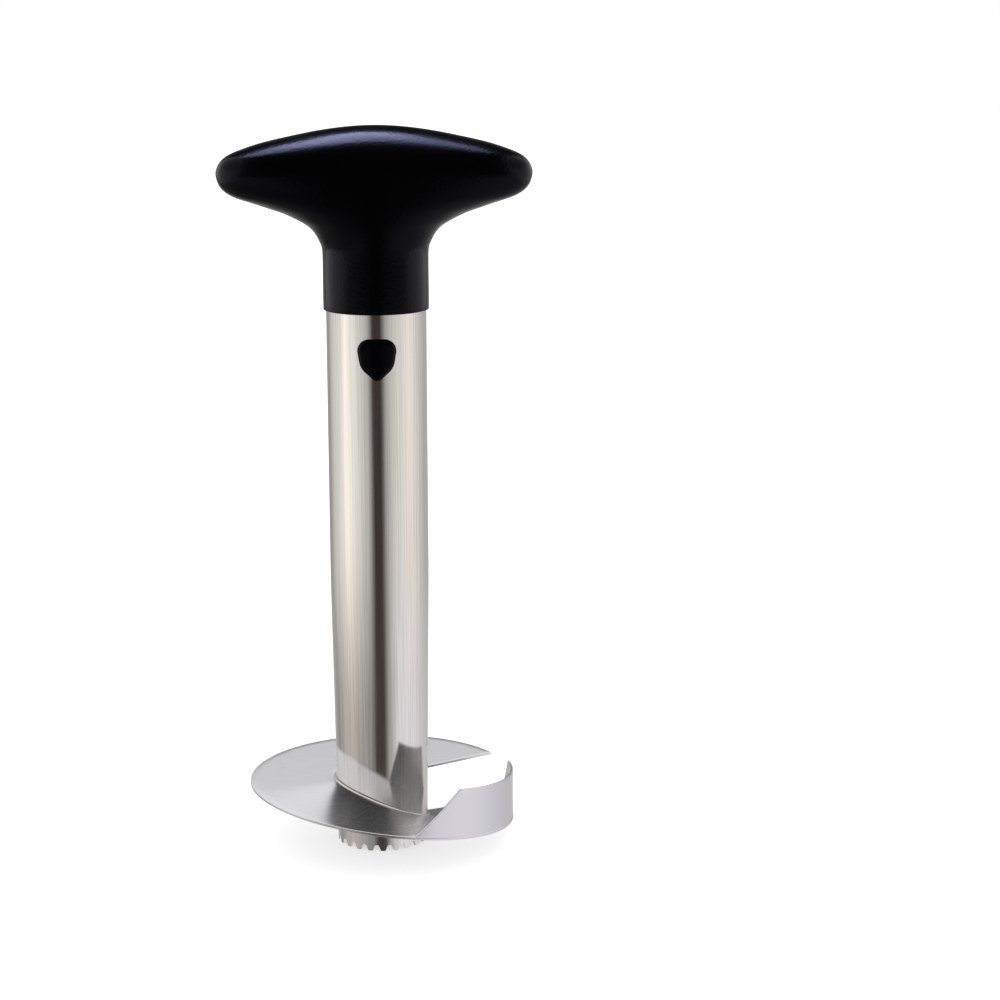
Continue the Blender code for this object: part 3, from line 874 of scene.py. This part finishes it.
@dataclass
class PanHeadScrew:
    """Pan-head screw with a cross recess."""

    length: float
    shank_radius: float
    head_radius: float = 2.8 * MM
    head_height: float = 2.0 * MM
    dome: float = 1.0 * MM
    recess_width: float = 0.8 * MM
    recess_length: float = 3.2 * MM
    recess_depth: float = 1.0 * MM
    dome_steps: int = 6

    def mesh(self) -> Mesh:
        """Turn the screw, head up, seated at height zero.

        Returns:
            The screw's mesh.
        """
        points = [(0.0, -self.length), (self.shank_radius, self.shank_radius - self.length),
                  (self.shank_radius, 0.0), (self.head_radius, 0.0)]
        for step in range(self.dome_steps + 1):
            turn = math.pi / 2.0 * step / self.dome_steps
            points.append((self.head_radius * math.cos(turn) if step < self.dome_steps else 0.0,
                           self.head_height - self.dome * (1.0 - math.sin(turn))))
        mesh = turned("screw", points, ROUND_STEPS)
        arm = (self.recess_length, self.recess_width)
        for width, depth in (arm, arm[::-1]):
            slot = bmesh.new()
            size = (width, depth, self.recess_depth + OVERRUN)
            middle = self.head_height - self.recess_depth + size[2] / 2.0
            place = Matrix.Translation((0.0, 0.0, middle)) @ Matrix.Diagonal((*size, 1.0))
            bmesh.ops.create_cube(slot, size=1.0, matrix=place)
            mesh = joined(mesh, to_mesh("recess", slot))
        return resharpened(mesh)


@dataclass
class Handle:
    """Hollow T handle of two half shells, screwed together from the rear."""

    plastic: Material
    zinc: Material
    # The squarish rings swell a little past their half width between their corners
    swell: float = 0.07 * MM
    base: float = field(default_factory=lambda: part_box("handle_rear_shell")[0].z)
    # Half the handle's width, half its depth and the height of its top
    extent: Vector = field(default_factory=lambda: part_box("handle_rear_shell")[1])
    stem_radius: float = 17.0 * MM
    wall: float = 1.8 * MM
    nose_fullness: float = 0.3
    parting_gap: float = 0.02 * MM
    edge_round: float = 0.35 * MM
    edge_round_steps: int = 3
    # Edges of the shells that turn by fewer degrees than this aren't rounded
    rounded_from: float = 60.0
    boss_radius: float = 4.8 * MM
    screw_seat: float = 5.0 * MM
    screw_length: float = 12.0 * MM
    screw_shank_radius: float = 1.45 * MM
    pocket_radius: float = 3.1 * MM
    columns: int = 56
    skin_levels: int = 2
    limit_levels: int = 1
    fitting_steps: int = 6
    # Rings up the stem and the underside: shares of the way from stem to bar in width and in
    # depth, and of the handle's height
    underside_shares: tuple[Triple, ...] = (
        (0.0, 0.0, 0.0), (0.0, 0.0, 0.15), (0.0, 0.0, 0.307), (0.019, 0.08, 0.361),
        (0.061, 0.20, 0.409), (0.126, 0.35, 0.452), (0.220, 0.50, 0.486),
        (0.368, 0.65, 0.527), (0.516, 0.78, 0.556), (0.663, 0.87, 0.584),
        (0.811, 0.94, 0.611), (0.906, 0.98, 0.639), (0.968, 1.0, 0.676), (1.0, 1.0, 0.730),
    )
    # Rings over the crown: shares of the bar's half width, its half depth and the height
    crown_shares: tuple[Triple, ...] = (
        (0.993, 0.994, 0.774), (0.959, 0.965, 0.818), (0.904, 0.924, 0.849),
        (0.834, 0.878, 0.873), (0.715, 0.785, 0.906), (0.556, 0.660, 0.938),
        (0.397, 0.510, 0.966), (0.238, 0.325, 0.987), (0.100, 0.140, 0.9975),
    )

    def controls(self) -> list[Vector]:
        """List the level rings of the skin, so moved that the smoothed skin passes through them.

        Smoothing draws a corner to a sixth of the one before it, four sixths of itself and a
        sixth of the one after.

        Returns:
            Half width, half depth and height of each moved ring, with the crown's tip last.
        """
        rise = self.extent.z - self.base
        rings = [(self.stem_radius + (self.extent.x - self.stem_radius) * width,
                  self.stem_radius + (self.extent.y - self.stem_radius) * depth, height)
                 for width, depth, height in self.underside_shares]
        rings += [(self.extent.x * width, self.extent.y * depth, height)
                  for width, depth, height in self.crown_shares]
        round_loss = (2.0 + math.cos(math.tau / self.columns)) / 3.0
        wanted = [Vector((width / round_loss, depth / round_loss, self.base + rise * height))
                  for width, depth, height in rings]
        wanted.append(Vector((0.0, 0.0, self.extent.z)))
        moved = [ring.copy() for ring in wanted]
        for _ in range(self.fitting_steps):
            smooth = [(low + 4.0 * ring + high) / 6.0
                      for low, ring, high in zip(moved, moved[1:], moved[2:])]
            moved[1:-1] = [ring + goal - reached for ring, goal, reached
                           in zip(moved[1:-1], wanted[1:-1], smooth)]
        return moved

    def skin(self, inset: float, levels: int) -> Mesh:
        """Skin the rings and smooth them.

        Args:
            inset: how far each ring is drawn in.
            levels: how many times the surface is subdivided.

        Returns:
            The skin's mesh, open at the stem's foot.
        """
        bm = bmesh.new()
        loops = []
        for width, depth, height in self.controls()[:-1]:
            share = (width - self.stem_radius) / (self.extent.x - self.stem_radius)
            width -= self.swell * share
            power = 2.0 / (2.0 + self.nose_fullness * min(max(share, 0.0), 1.0))

            def place(angle: float) -> Vector:
                """Corner of a squarish ring of the skin."""
                across, along = math.cos(angle), math.sin(angle)
                return Vector((
                    math.copysign(abs(across) ** power, across) * (width - inset),
                    math.copysign(abs(along) ** power, along) * (depth - inset),
                    height))

            loops.append(add_ring(bm, self.columns, place))
        bridge(bm, loops)
        cap = bmesh.ops.edgeloop_fill(bm, edges=loops[-1])["faces"]
        for crown in bmesh.ops.poke(bm, faces=cap)["verts"]:
            crown.co = (0.0, 0.0, self.extent.z)
        item = loose_object(to_mesh("handle_skin", bm))
        add_modifier(item, "SUBSURF", levels=levels, render_levels=levels)
        return evaluated(item)

    def screw_places(self) -> list[Pair]:
        """Find the screws from the solids.

        Returns:
            x and z of each screw's axis.
        """
        places = []
        for node in ("handle_screw_left", "handle_screw_middle", "handle_screw_right"):
            low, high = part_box(node)
            places.append(((low.x + high.x) / 2.0, (low.z + high.z) / 2.0))
        return places

    def bosses(self, side: Side) -> Mesh:
        """Make the screw bosses, from the parting plane to the middle of the wall.

        Args:
            side: the half that they stand in.

        Returns:
            Their mesh.
        """
        bm = bmesh.new()
        bm.from_mesh(self.skin(self.wall / 2.0, self.limit_levels))
        bmesh.ops.holes_fill(bm, edges=bm.edges)
        limit = to_mesh("boss_limit", bm)
        bm = bmesh.new()
        for x, z in self.screw_places():
            add_cylinder(bm, self.boss_radius, Vector((x, side.value * self.parting_gap, z)),
                         Vector((x, side.value * (self.extent.y + OVERRUN), z)))
        return joined(to_mesh("bosses", bm), limit, Joining.INTERSECT)

    def shell(self, side: Side) -> Mesh:
        """Mould one half of the handle.

        Args:
            side: which half.

        Returns:
            The half shell's mesh.
        """
        bm = bmesh.new()
        bm.from_mesh(self.skin(0.0, self.skin_levels))
        bmesh.ops.bisect_plane(
            bm, geom=bm.verts[:] + bm.edges[:] + bm.faces[:], dist=MERGE_DISTANCE,
            plane_co=(0.0, side.value * self.parting_gap / 2.0, 0.0),
            plane_no=(0.0, -side.value, 0.0), clear_outer=True)
        item = loose_object(to_mesh("half_skin", bm, outward=False))
        add_modifier(item, "SOLIDIFY", thickness=self.wall, offset=-1.0, use_even_offset=False)
        add_modifier(item, "BEVEL", width=self.edge_round, segments=self.edge_round_steps,
                     limit_method="ANGLE", angle_limit=math.radians(self.rounded_from))
        mesh = joined(evaluated(item), self.bosses(side), Joining.UNION)
        bm = bmesh.new()
        for x, z in self.screw_places():
            tip = Vector((x, self.screw_seat - self.screw_length - SEAT_GAP, z))
            seat = Vector((x, self.screw_seat, z))
            mouth = Vector((x, self.extent.y + OVERRUN, z))
            add_cylinder(bm, self.screw_shank_radius + SEAT_GAP, tip, mouth)
            if side is Side.REAR:
                add_cylinder(bm, self.pocket_radius, seat, mouth)
        return resharpened(joined(mesh, to_mesh("screw_tools", bm)))

    def build(self) -> None:
        """Build both shells and their screws."""
        for side in Side:
            label = side.name.lower()
            settle(label + "_handle_half", self.shell(side), "handle_plastic", self.plastic,
                   "handle_" + label + "_shell")
        screw = PanHeadScrew(self.screw_length, self.screw_shank_radius).mesh()
        for label, (x, z) in zip(("left", "middle", "right"), self.screw_places()):
            place = Matrix.Translation((x, self.screw_seat + SEAT_GAP, z))
            mesh = screw.copy()
            mesh.transform(place @ Matrix.Rotation(math.radians(-90.0), 4, "X"))
            settle(label + "_shell_screw", mesh, "screw_steel", self.zinc,
                   "handle_screw_" + label)


@dataclass
class PushButton:
    """Shield-shaped push button with its inner flange and spring peg."""

    shield: Shield
    plastic: Material
    side: Side
    height: float
    face_radius: float = 16.65 * MM
    flange_margin: float = 0.6 * MM
    face_round: float = 0.7 * MM
    round_steps: int = 5
    dish_steps: int = 4
    peg_radius: float = 1.5 * MM
    peg_length: float = 2.3 * MM
    flange_thickness: float = 2.0 * MM

    def peg(self, angle: float) -> Pair:
        """Point of the peg's outline."""
        return self.peg_radius * math.cos(angle), self.peg_radius * math.sin(angle)

    def shrunk(self, margin: float, share: float = 1.0) -> Outline:
        """Shield grown by a margin and then drawn in to a share of its size."""
        return lambda angle: tuple(value * share for value in self.shield.point(angle, margin))

    def ring(self, bm: BMesh, outline: Outline, reach: float | None,
             sink: float = 0.0) -> list[BMEdge]:
        """Add one ring of the button.

        Args:
            bm: the bmesh.
            outline: gives x and z from the button's centre at each angle.
            reach: how far from the tube's axis the ring lies, or None on the curved face.
            sink: how far below the curved face the ring lies.

        Returns:
            The ring's edges.
        """
        def place(angle: float) -> Vector:
            """Find a corner of the ring.

            Args:
                angle: the direction that the outline faces there, in radians.

            Returns:
                The corner.
            """
            x, z = outline(angle)
            out = math.sqrt(self.face_radius ** 2 - x ** 2) - sink if reach is None else reach
            return Vector((x, self.side.value * out, self.height + z))

        return add_ring(bm, self.shield.segments, place)

    def build(self) -> None:
        """Build the button: rings from the peg's tip to the middle of its face."""
        node = self.side.name.lower() + "_button"
        peg_tip = min(abs(corner.y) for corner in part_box(node))
        flange_in = peg_tip + self.peg_length
        flange_out = flange_in + self.flange_thickness
        bm = bmesh.new()
        loops = [self.ring(bm, self.peg, reach) for reach in (peg_tip, flange_in)]
        for margin, reach in ((self.flange_margin, flange_in), (self.flange_margin, flange_out),
                              (-SEAT_GAP, flange_out)):
            loops.append(self.ring(bm, self.shrunk(margin), reach))
        for step in range(self.round_steps + 1):
            turn = math.pi / 2.0 * step / self.round_steps
            inset = self.face_round * (1.0 - math.cos(turn))
            sink = self.face_round * (1.0 - math.sin(turn))
            loops.append(self.ring(bm, self.shrunk(-SEAT_GAP - inset), None, sink))
        for step in range(1, self.dish_steps + 1):
            share = 1.0 - step / (self.dish_steps + 1)
            loops.append(self.ring(bm, self.shrunk(-SEAT_GAP - self.face_round, share), None))
        bridge(bm, loops)
        for loop in (loops[0], loops[-1]):
            bmesh.ops.edgeloop_fill(bm, edges=loop)
        settle(node + "_cap", to_mesh(node, bm), "button_plastic", self.plastic, node,
               body=Body(node))


@dataclass
class CoilSpring:
    """Compression spring round a button's peg."""

    steel: Material
    side: Side
    height: float
    wire_radius: float = 0.25 * MM
    coil_radius: float = 2.4 * MM
    turns: int = 4
    points_per_turn: int = 24
    travel: float = 2.2 * MM

    def build(self) -> None:
        """Wind the spring between the ends of its solid."""
        button = self.side.name.lower() + "_button"
        start, end = sorted(abs(corner.y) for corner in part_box(button + "_spring"))
        points = []
        for index in range(self.turns * self.points_per_turn + 1):
            share = index / (self.turns * self.points_per_turn)
            turn = math.tau * self.turns * share
            reach = start + self.wire_radius + (end - start - 2.0 * self.wire_radius) * share
            points.append(Vector((
                self.coil_radius * math.cos(turn), self.side.value * reach,
                self.height + self.coil_radius * math.sin(turn))))
        coil = settle(button + "_coil", wire(self.wire_radius, points), "spring_steel",
                      self.steel, button + "_spring")
        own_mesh(coil)


@dataclass
class Latch:
    """Latch in the tube's top: the buttons, and the solids that stay hidden inside."""

    tube: CoreTube
    shield: Shield
    button_plastic: Material
    inner_plastic: Material
    spring_steel: Material
    zinc: Material
    cover_screw_length: float = 8.0 * MM
    cover_screw_radius: float = 1.2 * MM

    def build(self) -> None:
        """Build the buttons, the springs and the cover screw, and dress the solids that stay."""
        for side in Side:
            PushButton(self.shield, self.button_plastic, side, self.tube.button_height).build()
            CoilSpring(self.spring_steel, side, self.tube.button_height).build()
        for node in ("latch_housing", "latch_cover"):
            dress(node, self.inner_plastic)
        screw = PanHeadScrew(self.cover_screw_length, self.cover_screw_radius)
        mesh = screw.mesh()
        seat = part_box("cover_screw")[0].z + screw.head_height
        mesh.transform(Matrix.Translation((0.0, 0.0, seat)) @ Matrix.Rotation(math.pi, 4, "X"))
        settle("cover_fixing_screw", mesh, "screw_steel", self.zinc, "cover_screw")


@dataclass(frozen=True)
class Panel:
    """One stretch of the white tent round the slicer, as bright metal sees it."""

    azimuth: float
    radiance: float
    colour: str = "#fdfcf9"


@dataclass(frozen=True)
class Ring:
    """One height of the tent: its panels, and in degrees where it fades in and out."""

    panels: tuple[Panel, ...]
    fade_in: Pair
    fade_out: Pair

    def light(self, tree: NodeTree, share: Node, elevation: Node) -> Node:
        """Make the ring's light, kept at its own height with soft edges.

        Args:
            tree: the world's node tree.
            share: gives 0 at the rear, 0.5 at the front, 1 at the rear again.
            elevation: gives the height above the horizon, in radians.

        Returns:
            The node that gives the light.
        """
        brightest = max(panel.radiance for panel in self.panels)
        ramp = add_node(tree, "ShaderNodeValToRGB", {"Fac": share})
        stops = ramp.color_ramp.elements
        stops.remove(stops[0])
        stops[0].position = 0.0
        for panel in self.panels[1:]:
            stops.new((panel.azimuth + 180.0) / 360.0)
        for stop, panel in zip(stops, self.panels):
            level = panel.radiance / brightest
            stop.color = [value * level for value in linear(panel.colour)[:3]] + [1.0]
        fades = [add_node(tree, "ShaderNodeMapRange", {
            "Value": elevation, "From Min": math.radians(begin), "From Max": math.radians(end),
            "To Min": low, "To Max": 1.0 - low}, interpolation_type="SMOOTHSTEP")
            for (begin, end), low in ((self.fade_in, 0.0), (self.fade_out, 1.0))]
        light = ramp
        for scale in (brightest, *fades):
            light = add_node(tree, "ShaderNodeVectorMath", {0: light, "Scale": scale},
                             operation="SCALE")
        return light


@dataclass(frozen=True)
class Lamp:
    """Soft oval lamp. It shines straight down unless it is aimed."""

    name: str
    place: Triple
    length: float
    width: float
    radiance: float
    colour: str = "#ffffff"
    aim: Triple | None = None

    def build(self, *finishes: Material) -> None:
        """Hang the lamp.

        Args:
            *finishes: the finishes whose highlights it makes, flagged off all others. Without
                them it lights the floor and the matt surfaces.
        """
        light = bpy.data.lights.new(self.name, "AREA")
        light.shape = "ELLIPSE"
        light.size = self.length
        light.size_y = self.width
        # The watts that give an oval of this size its radiance
        light.energy = self.radiance * math.pi ** 2 / 4.0 * self.length * self.width
        light.color = linear(self.colour)[:3]
        item = bpy.data.objects.new(self.name, light)
        item.location = self.place
        if self.aim:
            item.rotation_euler = (Vector(self.place) - Vector(self.aim)).to_track_quat(
                "Z", "Y").to_euler()
        item.visible_camera = False
        item.visible_diffuse = not finishes
        item.visible_glossy = bool(finishes)
        bpy.context.scene.collection.objects.link(item)
        if finishes:
            lit = bpy.data.collections.new(self.name + "_shines_on")
            for piece in bpy.context.scene.objects:
                if any(place.material in finishes for place in piece.material_slots):
                    lit.objects.link(piece)
            item.light_linking.receiver_collection = lit


@dataclass
class Studio:
    """White tent with a dark gap where the camera stands, its floor and its lamps."""

    plastics: tuple[Material, ...]
    sheets: tuple[Material, ...]

    # What the blade's wall and the tube's foot see: the tent's floor
    floor_ring: Ring = Ring((
        Panel(-180.0, 0.70), Panel(-130.0, 0.30), Panel(-100.0, 0.52),
        Panel(-75.0, 0.56, "#fff6ec"), Panel(-45.0, 0.38), Panel(-24.0, 0.28),
        Panel(-12.0, 0.10, "#b8a898"), Panel(8.0, 0.10, "#b8a898"), Panel(18.0, 0.38),
        Panel(45.0, 0.96, "#f6f4fb"), Panel(85.0, 0.93, "#f6f4fb"),
        Panel(125.0, 0.74, "#f6f4fb"), Panel(150.0, 0.58), Panel(180.0, 0.70),
    ), (-92.0, -90.0), (-18.0, -13.0))
    # What the tube's flank sees
    tube_ring: Ring = Ring((
        Panel(-180.0, 0.36), Panel(-143.0, 0.36), Panel(-125.0, 0.69), Panel(-96.0, 0.88),
        Panel(-80.0, 1.30, "#fff8f0"), Panel(-64.0, 1.07), Panel(-40.0, 0.78),
        Panel(-23.0, 0.57), Panel(-16.0, 0.28), Panel(-11.0, 0.03, "#ffcfb6"),
        Panel(8.0, 0.03, "#ffcfb6"), Panel(13.0, 0.22), Panel(19.0, 0.46), Panel(36.0, 0.73),
        Panel(60.0, 0.88), Panel(76.0, 1.03, "#fff4f0"), Panel(96.0, 0.83),
        Panel(134.0, 0.50), Panel(180.0, 0.46),
    ), (-18.0, -13.0), (-7.4, -5.8))
    # What the blade and the tube see at a grazing angle
    wall_ring: Ring = Ring((
        Panel(-180.0, 0.05), Panel(-160.0, 0.30), Panel(-125.0, 0.82), Panel(-75.0, 0.86),
        Panel(-46.0, 0.08), Panel(-25.0, 0.01), Panel(25.0, 0.01), Panel(46.0, 0.06),
        Panel(75.0, 0.80), Panel(120.0, 0.86), Panel(160.0, 0.30), Panel(180.0, 0.05),
    ), (-7.4, -5.8), (10.0, 24.0))
    # The plastic's flanks, its long highlight and that one's brightest part
    plastic_lamps: tuple[Lamp, ...] = (
        Lamp("left_lamp", (-0.97, 0.26, 0.50), 2.0, 1.6, 0.85, aim=(0.0, 0.0, 0.20)),
        Lamp("right_lamp", (0.97, 0.26, 0.50), 2.0, 1.6, 0.75, aim=(0.0, 0.0, 0.20)),
        Lamp("strip_lamp", (-0.12, 0.46, 1.25), 1.12, 0.68, 8.3, "#c5cdff"),
        Lamp("strip_middle", (-0.11, 0.46, 1.24), 0.50, 0.64, 10.4, "#d1d6ff"),
    )
    # What the steel sheets see above them, and the floor's light
    ceiling: Lamp = Lamp("ceiling", (0.0, 0.0, 0.70), 4.6, 4.6, 0.95)
    key_lamp: Lamp = Lamp("key_lamp", (0.0, 0.10, 1.60), 1.2, 1.2, 1.7)
    above_radiance: float = 0.02
    fill_radiance: float = 0.72
    floor_radius: float = 4.0
    floor_segments: int = 64
    floor_colour: str = "#f4f4f4"
    floor_roughness: float = 0.9
    floor_lift: float = 0.58

    def world(self) -> None:
        """Make the world: white to the camera, the tent to metal, an even fill to the rest."""
        world = bpy.data.worlds.new("white_tent")
        bpy.context.scene.world = world
        world.use_nodes = True
        tree = world.node_tree
        tree.nodes.clear()
        place = add_node(tree, "ShaderNodeTexCoord")
        parts = add_node(tree, "ShaderNodeSeparateXYZ", {0: place.outputs["Generated"]})
        right, rear, up = parts.outputs
        front = add_node(tree, "ShaderNodeMath", {0: rear, 1: -1.0}, operation="MULTIPLY")
        azimuth = add_node(tree, "ShaderNodeMath", {0: right, 1: front}, operation="ARCTAN2")
        share = add_node(tree, "ShaderNodeMapRange", {
            "Value": azimuth, "From Min": -math.pi, "From Max": math.pi})
        elevation = add_node(tree, "ShaderNodeMath", {0: up}, operation="ARCSINE")
        total = add_node(tree, "ShaderNodeCombineXYZ", dict.fromkeys(
            range(3), self.above_radiance))
        for ring in (self.floor_ring, self.tube_ring, self.wall_ring):
            total = add_node(tree, "ShaderNodeVectorMath", {
                0: total, 1: ring.light(tree, share, elevation)}, operation="ADD")
        tent = add_node(tree, "ShaderNodeBackground", {"Color": total})
        fill = add_node(tree, "ShaderNodeBackground", {
            "Color": WHITE, "Strength": self.fill_radiance})
        white = add_node(tree, "ShaderNodeBackground", {"Color": WHITE})
        path = add_node(tree, "ShaderNodeLightPath")
        lit = add_node(tree, "ShaderNodeMixShader", {
            0: path.outputs["Is Glossy Ray"], 1: fill, 2: tent})
        plain = add_node(tree, "ShaderNodeMath", {
            0: path.outputs["Is Camera Ray"], 1: path.outputs["Is Transmission Ray"]},
            operation="MAXIMUM")
        shown = add_node(tree, "ShaderNodeMixShader", {0: plain, 1: lit, 2: white})
        add_node(tree, "ShaderNodeOutputWorld", {"Surface": shown})

    def floor(self) -> None:
        """Lay the pale floor: white to the camera, with the slicer's shadow on it."""
        material, shader = new_material("matt_white_floor")
        path = add_node(material.node_tree, "ShaderNodeLightPath")
        lift = add_node(material.node_tree, "ShaderNodeMath", {
            0: path.outputs["Is Camera Ray"], 1: self.floor_lift}, operation="MULTIPLY")
        feed(shader, {
            "Base Color": linear(self.floor_colour), "Roughness": self.floor_roughness,
            "Specular IOR Level": 0.0, "Emission Color": WHITE, "Emission Strength": lift})
        bm = bmesh.new()
        bmesh.ops.create_circle(
            bm, cap_ends=True, segments=self.floor_segments, radius=self.floor_radius)
        mesh = to_mesh("floor", bm, outward=False)
        mesh.materials.append(material)
        item = loose_object(mesh)
        item.visible_glossy = False

    def build(self) -> None:
        """Build the world, the floor and the lamps, once every piece has its finish."""
        self.world()
        self.floor()
        for lamp in self.plastic_lamps:
            lamp.build(*self.plastics)
        self.ceiling.build(*self.sheets)
        self.key_lamp.build()
        bpy.context.scene.view_settings.view_transform = "Standard"


@dataclass
class Camera:
    """Camera at the photograph's viewing angle, fitted to the tube, the blade and the handle."""

    place: Triple = (0.0, -0.780, 0.28742)
    aim: Triple = (0.03974, 0.0, 0.11535)
    roll: float = -0.0021
    # Focal length and sensor width in millimetres
    lens: float = 87.71976
    sensor: float = 36.0
    nearest: float = 0.05
    farthest: float = 20.0

    def build(self) -> None:
        """Make the camera and the scene's active view."""
        data = bpy.data.cameras.new("photograph_view")
        data.sensor_width = self.sensor
        data.lens = self.lens
        data.clip_start = self.nearest
        data.clip_end = self.farthest
        item = bpy.data.objects.new(data.name, data)
        bpy.context.scene.collection.objects.link(item)
        look = Vector(self.aim) - Vector(self.place)
        turn = look.to_track_quat("-Z", "Y").to_matrix().to_4x4()
        item.matrix_world = (Matrix.Translation(self.place) @ turn
                             @ Matrix.Rotation(self.roll, 4, "Z"))
        bpy.context.scene.camera = item


def main() -> None:
    """Build the camera, every piece of the slicer and the studio."""
    logging.basicConfig(level=logging.INFO, format="%(message)s")
    Camera().build()
    tube_steel = BrushedSteel("brushed_stainless_tube").build()
    disc_steel = RolledSteel("rolled_stainless_disc").build()
    wall_steel = RolledSteel("satin_stainless_wall", roughness=0.24).build()
    weld_metal = WeldMetal("brushed_weld_bead").build()
    handle_plastic = MouldedPlastic("spark_eroded_black_abs").build()
    button_plastic = MouldedPlastic("smooth_black_abs", relief_depth=0.01 * MM).build()
    zinc = RolledSteel("bright_zinc_plate", low_tone="#b4b6ba", high_tone="#c3c5c9",
                       relief_depth=0.0).build()
    spring_steel = BrushedSteel(
        "drawn_spring_wire", marks=Marks((0.45 * MM, 0.45 * MM, 3.0 * MM), 3.0)).build()
    shield = Shield()
    tube = CoreTube(tube_steel, shield)
    tube.build()
    SpiralBlade(tube, disc_steel, wall_steel, weld_metal).build()
    Handle(handle_plastic, zinc).build()
    Latch(tube, shield, button_plastic, handle_plastic, spring_steel, zinc).build()
    Studio((handle_plastic, button_plastic), (disc_steel, wall_steel, weld_metal, zinc)).build()


if __name__ == "__main__":
    main()
